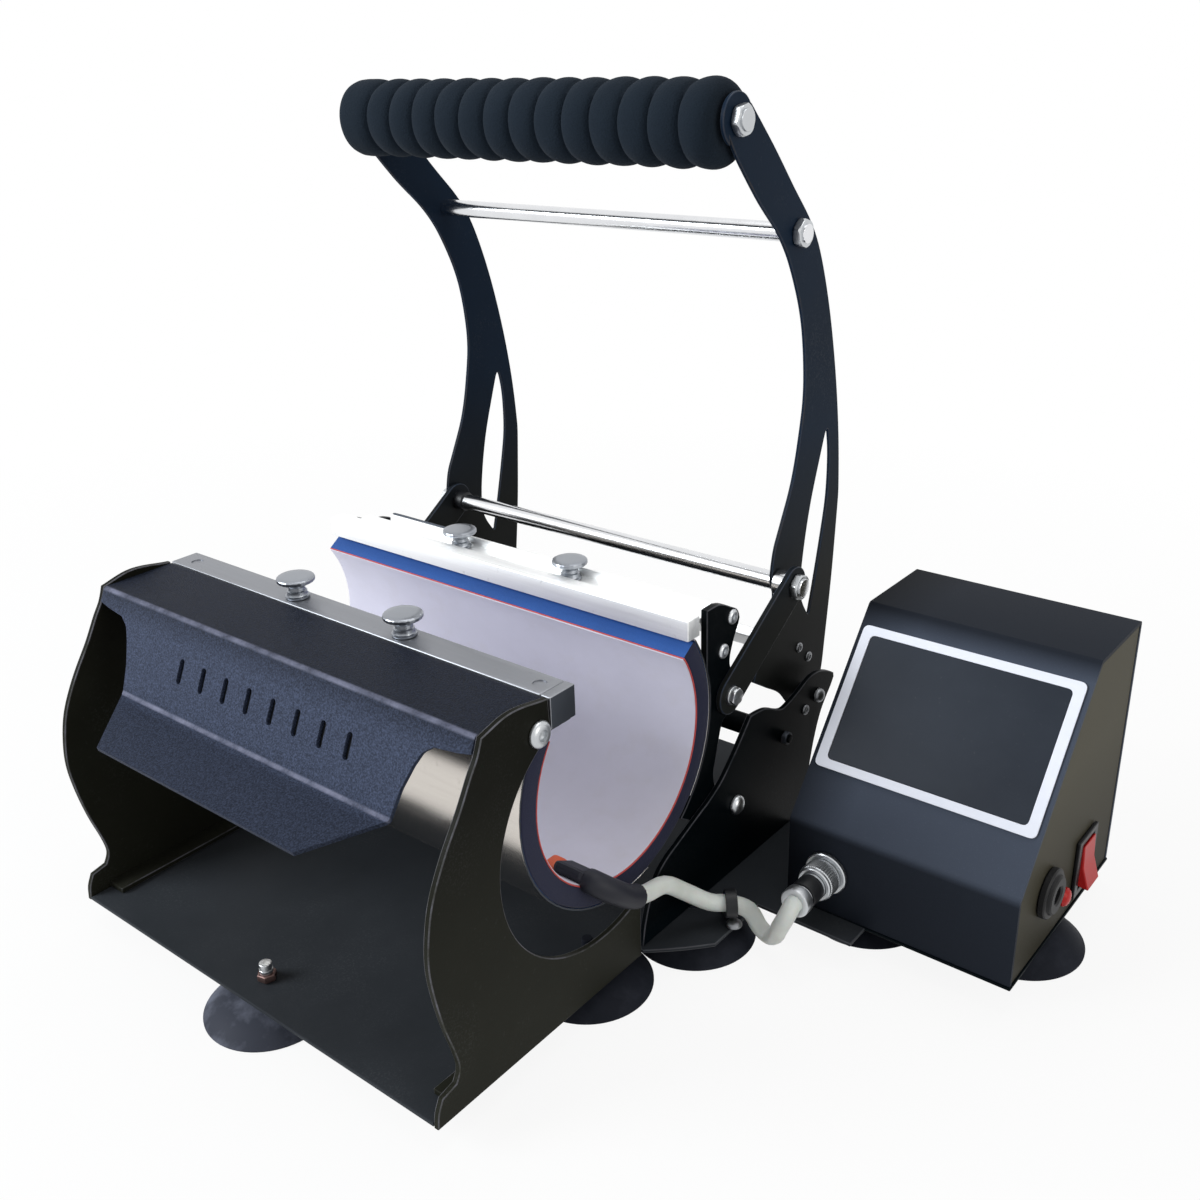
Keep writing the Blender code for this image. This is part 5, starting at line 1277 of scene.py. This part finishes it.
def make_display():
    """White border and dark window on the box's slope."""
    run = Vector((0, BOX_BROW - BOX_FRONT, BOX_TOP - BOX_FOLD)).normalized()
    out = X_AXIS.cross(run)
    corner = Vector(((BOX_LEFT + BOX_RIGHT) / 2, BOX_FRONT, BOX_FOLD)) * MM
    face = axes_at(corner + run * 0.069 + out * 0.0003, X_AXIS, run, out)
    rings = [rounded_box(0.0585, 0.039, 0.0035), rounded_box(0.0531, 0.0342, 0.003)]
    stand_in("display_border", slab(rings, 0.0, 0.0009, face, 0.0002), border_print(), "display_panel")
    window = slab([rounded_box(0.0529, 0.0340, 0.0028)], 0.0, 0.0007, face, 0.0002)
    settle("display_window", window, window_film(), "root", "display_film")


def make_switch():
    """Rocker switch, pilot lamp and cord gland on the right side panel."""
    stand_in("switch_bezel", refined("switch_housing", 0.0005), black_plastic(), "switch_housing")
    stand_in("rocker_cap", refined("power_rocker", 0.0006), lamp_red(), "power_rocker")
    lens = [(0.0, -0.005), (0.0035, -0.005), (0.0035, 0.0), (0.0050, 0.0), (0.0050, 0.0016)]
    lens += [(0.0046 * math.cos(a), 0.0018 + 0.0022 * math.sin(a)) for a in (0.1, 0.5, 0.9, 1.3)]
    lens = turned([*lens, (0.0, 0.0040)], X_AXIS, point(BOX_RIGHT, 151.0, 32.0), 32)
    stand_in("pilot_lens", lens, lamp_red(), "pilot_lamp")
    gland = [
        (0.0045, -0.011), (0.0091, -0.011), (0.0091, 0.0), (0.0126, 0.0), (0.0130, 0.0006), (0.0130, 0.0030),
        (0.0124, 0.0037), (0.0104, 0.0040), (0.0100, 0.0052), (0.0092, 0.0058), (0.0056, 0.0058),
        (0.0045, 0.0050), (0.0045, -0.011)]
    gland = turned(gland, X_AXIS, point(BOX_RIGHT, 125.0, 50.0))
    stand_in("gland_body", gland, gland_black(), "cord_gland")


def make_cups():
    """Suction cups with a dome, a lip and a moulded stud."""
    for node in [name for name in NODES if "suction_cup" in name]:
        low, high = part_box(node)
        x, y = (low.x + high.x) / 2, (low.y + high.y) / 2
        seat = 0.0165 if node == "box_suction_cup" else 0.0142
        profile = [(0.0, high.z), (0.0026, high.z), (0.0029, high.z - 0.0004), (0.0029, seat)]
        profile += [(0.0118, seat), (0.0124, seat - 0.0006), (0.0126, seat * 0.84)]
        for share, radius in ((0.74, 0.0165), (0.66, 0.0200), (0.55, 0.0236), (0.40, 0.0272), (0.24, 0.0300)):
            profile.append((radius, seat * share))
        profile += [(0.0322, 0.0016), (0.0330, 0.0010), (0.0330, 0.0003), (0.0326, 0.0), (0.0262, 0.0)]
        profile += [(0.0200, 0.0024), (0.0110, 0.0040), (0.0, 0.0045)]
        stand_in(f"{node}_dome", turned(profile, Z_AXIS, Vector((x, y, 0)), 72), rubber(), node)


# From the mat's terminal through the clip to the plug
LEAD_POINTS = (
    (130.8, -28.0, 76.5), (134.5, -28.0, 76.5), (139.2, -21.5, 70.5), (140.0, -10.0, 61.0),
    (140.0, 2.0, 55.5), (140.2, 18.0, 51.5), (142.5, 32.0, 40.0), (150.0, 43.0, 30.5),
    (158.0, 50.0, 29.0), (165.5, 56.0, 24.5), (170.0, 59.0, 14.5), (175.5, 59.5, 11.0),
    (181.5, 56.0, 16.5), (187.0, 50.0, 27.0), (191.3, 49.0, 36.5), (192.0, 53.0, 41.0), (192.0, 56.8, 41.0))
LEAD_RADIUS = 0.0045
# How many of the route's places, counted from the terminal, are wrapped in tape
WRAPPED_PLACES = 15


def smooth_route(places, steps):
    """Points on a smooth curve through the given ones, both ends included."""
    path = [Vector(p) for p in places]
    path = [2 * path[0] - path[1], *path, 2 * path[-1] - path[-2]]
    result = []
    for index in range(1, len(path) - 2):
        before, here, there, after = path[index - 1:index + 3]
        for step in range(steps):
            t = step / steps
            result.append(
                (2 * here + (there - before) * t + (2 * before - 5 * here + 4 * there - after) * t * t
                 + (3 * here - before - 3 * there + after) * t ** 3) / 2)
    result.append(path[-2])
    return result


def route_curve(places, radius):
    curve = bpy.data.curves.new("route", "CURVE")
    curve.dimensions = "3D"
    curve.bevel_depth = radius
    curve.bevel_resolution = 6
    curve.use_fill_caps = True
    spline = curve.splines.new("POLY")
    spline.points.add(len(places) - 1)
    for corner, place in zip(spline.points, places):
        corner.co = (*place, 1)
    return curve


def make_lead():
    """The heater lead in its white sleeve, from the mat's terminal to the socket on the box."""
    places = smooth_route([point(*p) for p in LEAD_POINTS], 4)
    length = sum((b - a).length for a, b in zip(places, places[1:]))
    lead = stand_in("lead_sleeve", route_curve(places, LEAD_RADIUS), white_sleeve(), "heater_lead")
    sleeve = settle("lead_wrap", tube(places[:WRAPPED_PLACES], 0.0060), tape(), "root", "black_plastic")
    plug = make_connector()
    stand_in("lead_p_clip", refined("lead_clip"), black_plastic(), "lead_clip")
    crown = [(0.0, 0.0), (0.0042, 0.0), (0.0042, 0.0006)]
    crown += [(0.0041 * math.cos(a), 0.0006 + 0.0022 * math.sin(a)) for a in (0.3, 0.6, 0.9, 1.2)]
    screw = turned([*crown, (0.0, 0.0028)], Z_AXIS, point(160.9, 49.1, 17.6), 32)
    settle("clip_screw", screw, dull_zinc(), "root", "zinc_plate")


def tube(places, radius):
    """A closed tube along a route."""
    return shaded(cleaned(evaluated(linked("guide", route_curve(places, radius)))), 40.0)


def make_connector():
    """Knurled plug and ring, and the threaded socket they lock to."""
    socket = [
        (0.0, -0.0111), (0.0070, -0.0111), (0.0075, -0.0106), (0.0075, -0.0031), (0.0110, -0.0031),
        (0.0115, -0.0026), (0.0115, -0.0008), (0.0110, -0.0003), (0.0075, -0.0003), (0.0075, 0.0048),
        (0.0, 0.0048)]
    socket = turned(socket, Y_AXIS, on_plug_axis(BOX_FRONT * MM))
    stand_in("socket_body", socket, zinc(), "panel_socket")
    ring = [
        (0.0073, 0.0), (0.0086, 0.0), (0.0092, 0.0006), (0.0092, 0.0018), (0.0098, 0.0022), (0.0098, 0.0088),
        (0.0092, 0.0092), (0.0092, 0.0104), (0.0088, 0.0110), (0.0078, 0.0110), (0.0078, 0.0076),
        (0.0073, 0.0076), (0.0073, 0.0)]
    place = on_plug_axis(0.2241)
    ring = turned(ring, Y_AXIS, place, 96)
    knurled(ring, place, Y_AXIS, 0.0097, 0.00022, 48, -1)
    stand_in("ring_nut", shaded(ring, 12.0), zinc(), "plug_ring")
    low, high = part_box("lead_plug")
    place, reach = on_plug_axis(low.y), high.y - low.y
    plug = [
        (0.0, 0.0), (0.0054, 0.0), (0.0060, 0.0008), (0.0060, 0.0050), (0.0066, 0.0056), (0.0070, 0.0062),
        (0.0070, 0.0078), (0.0064, 0.0080), (0.0064, 0.0086), (0.0070, 0.0088), (0.0070, 0.0104),
        (0.0064, 0.0106), (0.0064, 0.0112), (0.0070, 0.0114), (0.0070, reach - 0.0004),
        (0.0066, reach), (0.0, reach)]
    barrel = stand_in("plug_barrel", turned(plug, Y_AXIS, place), zinc(), "lead_plug")
    collar = shaft([(0.0078, -0.0022, 0.0036)], place, Y_AXIS, 0.0008, 64)
    collar = settle("plug_collar", collar, zinc(), "root", "zinc_plate")
    hold = shaft([(0.0073, 0.0052, 0.0150)], place, Y_AXIS, 0.0006, 64)
    hold = settle("plug_grip", hold, black_plastic(), "root", "black_plastic")
    return [barrel, collar, hold]


def make_terminal():
    """The wrapped block on the mat's end, with an orange silicone boot."""
    stand_in("terminal_block", refined("heater_terminal", 0.0022), tape(), "heater_terminal")
    boot = block((0.1050, 0.1168, 0.0672), (0.1146, 0.1278, 0.0794), 0.0026)
    settle("terminal_boot", boot, heat_red(), "root", "black_plastic")


def make_camera():
    """The camera at the photograph's place, as its axes and its position."""
    right = Vector((0.77958, 0.62565, -0.02871))
    up = Vector((-0.22940, 0.32788, 0.91644))
    back = Vector((0.58279, -0.70785, 0.39913))
    lens = bpy.data.cameras.new("camera")
    lens.sensor_width = 36.0
    lens.lens = 38.571
    lens.clip_start = 0.01
    camera = linked("camera", lens)
    camera.matrix_world = axes_at(Vector((0.45276, -0.25452, 0.43438)), right, up, back)
    bpy.context.scene.camera = camera


def area_light(name, place, aim, size, power, colour=(1, 1, 1)):
    lamp = bpy.data.lights.new(name, "AREA")
    lamp.shape = "RECTANGLE"
    lamp.size, lamp.size_y = size
    lamp.energy = power
    lamp.color = colour
    holder = linked(name, lamp)
    holder.location = place
    holder.rotation_euler = (Vector(aim) - Vector(place)).to_track_quat("-Z", "Y").to_euler()


def make_world(studio):
    """A soft grey surround that the camera, gloss and glass see as white."""
    world = bpy.data.worlds.new("studio")
    world.use_nodes = True
    bpy.context.scene.world = world
    nodes = Nodes(world.node_tree)
    background = world.node_tree.nodes["Background"]
    background.inputs["Color"].default_value = (1, 1, 1, 1)
    nodes.join(background.inputs["Strength"], nodes.ramp(nodes.seen(), studio.surround, 1.0))


def make_floor(studio):
    """A pale floor that keeps the press's shadow and looks plain white further out."""
    built = bmesh.new()
    bmesh.ops.create_grid(built, x_segments=1, y_segments=1, size=6.0)
    floor = linked("floor", wrapped(built))
    floor.location = (0, 0, -0.0002)
    paint = Paint("pale_floor", specular_ior_level=0.0, roughness=0.9, base_color=rgba(studio.floor_colour))
    away = paint.add("VectorMath", {"operation": "LENGTH"}, {0: paint.here()}, "Value")
    share = paint.ramp(away, studio.floor_white, 1.0, 0.45, 1.1) * paint.seen()
    white = paint.add("Emission", None, {"Color": (1, 1, 1, 1), "Strength": 1.0})
    mix = paint.add("MixShader", None, {0: share, 1: Socket(paint, paint.shader.outputs[0]), 2: white})
    paint.join(paint.tree.nodes["Material Output"].inputs["Surface"], mix)
    floor.data.materials.append(paint.material)


def make_lamps(studio):
    """A cool key lamp, a warm fill lamp and a lamp from above."""
    cool, warm = (0.93, 0.97, 1.0), (1.0, 0.97, 0.9)
    area_light("key", (-1.35, -1.45, 1.30), (0.05, 0.12, 0.15), (1.3, 1.1), studio.key_power, cool)
    area_light("fill", (2.1, 0.1, 0.9), (0.1, 0.2, 0.12), (1.0, 1.0), studio.fill_power, warm)
    area_light("top", (0.1, 0.5, 1.9), (0.05, 0.15, 0.1), (1.2, 1.2), studio.top_power)


def make_stage():
    """Floor, surround, lamps and the camera at the photograph's place."""
    bpy.context.scene.view_settings.view_transform = "Standard"
    studio = bpy.context.scene.press_studio
    make_camera()
    make_world(studio)
    make_floor(studio)
    make_lamps(studio)


# Add-on


def colour_field(name, description, *default):
    return FloatVectorProperty(name=name, description=description, subtype="COLOR", default=default)


def length_field(name, description, default):
    return FloatProperty(name=name, description=description, default=default, unit="LENGTH")


def power_field(name, description, default):
    return FloatProperty(name=name, description=description, default=default, unit="POWER")


class PressSizes(bpy.types.PropertyGroup):
    """Sizes of the finished surfaces."""

    sheet_edge: length_field("Sheet edge", "Radius of the eased edges of cut sheets", 0.0005)
    grip_ribs: IntProperty(name="Grip ribs", description="How many bulges the foam sleeve has", default=14)
    grip_sag: length_field("Grip sag", "How far the loose sleeve hangs below its rod", 0.0016)


class PressColours(bpy.types.PropertyGroup):
    """Colours of the painted and moulded pieces."""

    frame: colour_field("Frame paint", "Satin black of the side plates", 0.0145, 0.015, 0.011)
    # A darker copy of the satin black: painted shade on the brackets, jaw plates, bracket rod and box floor
    deep: colour_field("Bracket paint", "Satin black of the brackets and jaw plates", 0.0015, 0.0035, 0.005)
    arm: colour_field("Arm paint", "Blue-black of the arms and links", 0.006, 0.013, 0.026)
    textured: colour_field("Cover paint", "Textured paint of the front cover", 0.026, 0.033, 0.055)
    deck: colour_field("Base paint", "Dusty black of the base plate", 0.028, 0.0315, 0.0365)
    box: colour_field("Box paint", "Charcoal of the control box", 0.056, 0.068, 0.094)
    cheek: colour_field("Box sides", "Olive charcoal of the box's side panels", 0.074, 0.069, 0.050)
    foam: colour_field("Mat foam", "Blue of the mat's foam", 0.020, 0.085, 0.31)
    foam_end: colour_field("Mat ends", "Navy of the mat's cut ends", 0.010, 0.012, 0.036)
    face: colour_field("Mat face", "Pale grey of the mat's working face", 0.63, 0.62, 0.72)


class PressStudio(bpy.types.PropertyGroup):
    """The studio the press stands in."""

    surround: FloatProperty(name="Surround", description="Strength of the grey surround", default=0.38)
    floor_white: FloatProperty(
        name="Floor white", description="How much of the floor is plain white near the press", default=0.90)
    floor_colour: colour_field("Floor", "Colour of the floor", 0.8, 0.8, 0.8)
    key_power: power_field("Key lamp", "Power of the main lamp", 58.0)
    fill_power: power_field("Fill lamp", "Power of the side lamp", 11.0)
    top_power: power_field("Top lamp", "Power of the top lamp", 9.0)


class PRESS_OT_stage(bpy.types.Operator):
    """Make the floor, the lamps and the camera."""

    bl_idname = "press.stage"
    bl_label = "Studio"

    def execute(self, context):
        make_stage()
        return {"FINISHED"}


class PRESS_OT_lead(bpy.types.Operator):
    """Make the heater lead with its plug, clip and terminal."""

    bl_idname = "press.lead"
    bl_label = "Heater lead"

    def execute(self, context):
        make_lead()
        make_terminal()
        return {"FINISHED"}


class PRESS_OT_plates(bpy.types.Operator):
    """Make the base, side plates, brackets, jaw plates, arms and links."""

    bl_idname = "press.plates"
    bl_label = "Plates"

    def execute(self, context):
        make_plates()
        make_links()
        return {"FINISHED"}


class PRESS_OT_cover(bpy.types.Operator):
    """Make the bent front cover with its slots."""

    bl_idname = "press.cover"
    bl_label = "Front cover"

    def execute(self, context):
        make_cover()
        return {"FINISHED"}


class PRESS_OT_bars(bpy.types.Operator):
    """Make the clamp bars, the jaw's shelf and the cross bar."""

    bl_idname = "press.bars"
    bl_label = "Clamp bars"

    def execute(self, context):
        make_bars()
        return {"FINISHED"}


class PRESS_OT_thumb_screws(bpy.types.Operator):
    """Make the four thumb screws."""

    bl_idname = "press.thumb_screws"
    bl_label = "Thumb screws"

    def execute(self, context):
        make_thumb_screws()
        return {"FINISHED"}


class PRESS_OT_mat(bpy.types.Operator):
    """Make the foam, the red line, the face and the steel behind them."""

    bl_idname = "press.mat"
    bl_label = "Heating mat"

    def execute(self, context):
        make_mat()
        make_backing()
        return {"FINISHED"}


class PRESS_OT_handle(bpy.types.Operator):
    """Make the foam sleeve and the rods."""

    bl_idname = "press.handle"
    bl_label = "Handle"

    def execute(self, context):
        make_grip()
        make_rods()
        return {"FINISHED"}


class PRESS_OT_fasteners(bpy.types.Operator):
    """Make the tie rods, bolts and screws."""

    bl_idname = "press.fasteners"
    bl_label = "Fasteners"

    def execute(self, context):
        make_fasteners()
        return {"FINISHED"}


class PRESS_OT_box(bpy.types.Operator):
    """Make the box with its display, switch and gland."""

    bl_idname = "press.box"
    bl_label = "Control box"

    def execute(self, context):
        make_box()
        make_display()
        make_switch()
        return {"FINISHED"}


class PRESS_OT_cups(bpy.types.Operator):
    """Make the seven suction cups."""

    bl_idname = "press.cups"
    bl_label = "Suction cups"

    def execute(self, context):
        make_cups()
        return {"FINISHED"}


OPERATORS = (
    PRESS_OT_stage, PRESS_OT_lead, PRESS_OT_plates, PRESS_OT_cover, PRESS_OT_bars, PRESS_OT_thumb_screws,
    PRESS_OT_mat, PRESS_OT_handle, PRESS_OT_fasteners, PRESS_OT_box, PRESS_OT_cups)


class PRESS_PT_pieces(bpy.types.Panel):
    """Lists the pieces of the press."""

    bl_label = "Heat press"
    bl_space_type = "VIEW_3D"
    bl_region_type = "UI"
    bl_category = "Heat press"

    def draw(self, context):
        scene = context.scene
        for group in (scene.press_sizes, scene.press_colours, scene.press_studio):
            box = self.layout.box()
            for name in group.__annotations__:
                box.prop(group, name)
        for kind in OPERATORS:
            self.layout.operator(kind.bl_idname)


CLASSES = (PressSizes, PressColours, PressStudio, *OPERATORS, PRESS_PT_pieces)


def register():
    for kind in CLASSES:
        bpy.utils.register_class(kind)
    bpy.types.Scene.press_sizes = PointerProperty(type=PressSizes)
    bpy.types.Scene.press_colours = PointerProperty(type=PressColours)
    bpy.types.Scene.press_studio = PointerProperty(type=PressStudio)


def unregister():
    del bpy.types.Scene.press_sizes, bpy.types.Scene.press_colours, bpy.types.Scene.press_studio
    for kind in reversed(CLASSES):
        bpy.utils.unregister_class(kind)


def main():
    register()
    for kind in OPERATORS:
        group, name = kind.bl_idname.split(".")
        getattr(getattr(bpy.ops, group), name)()


if __name__ == "__main__":
    main()
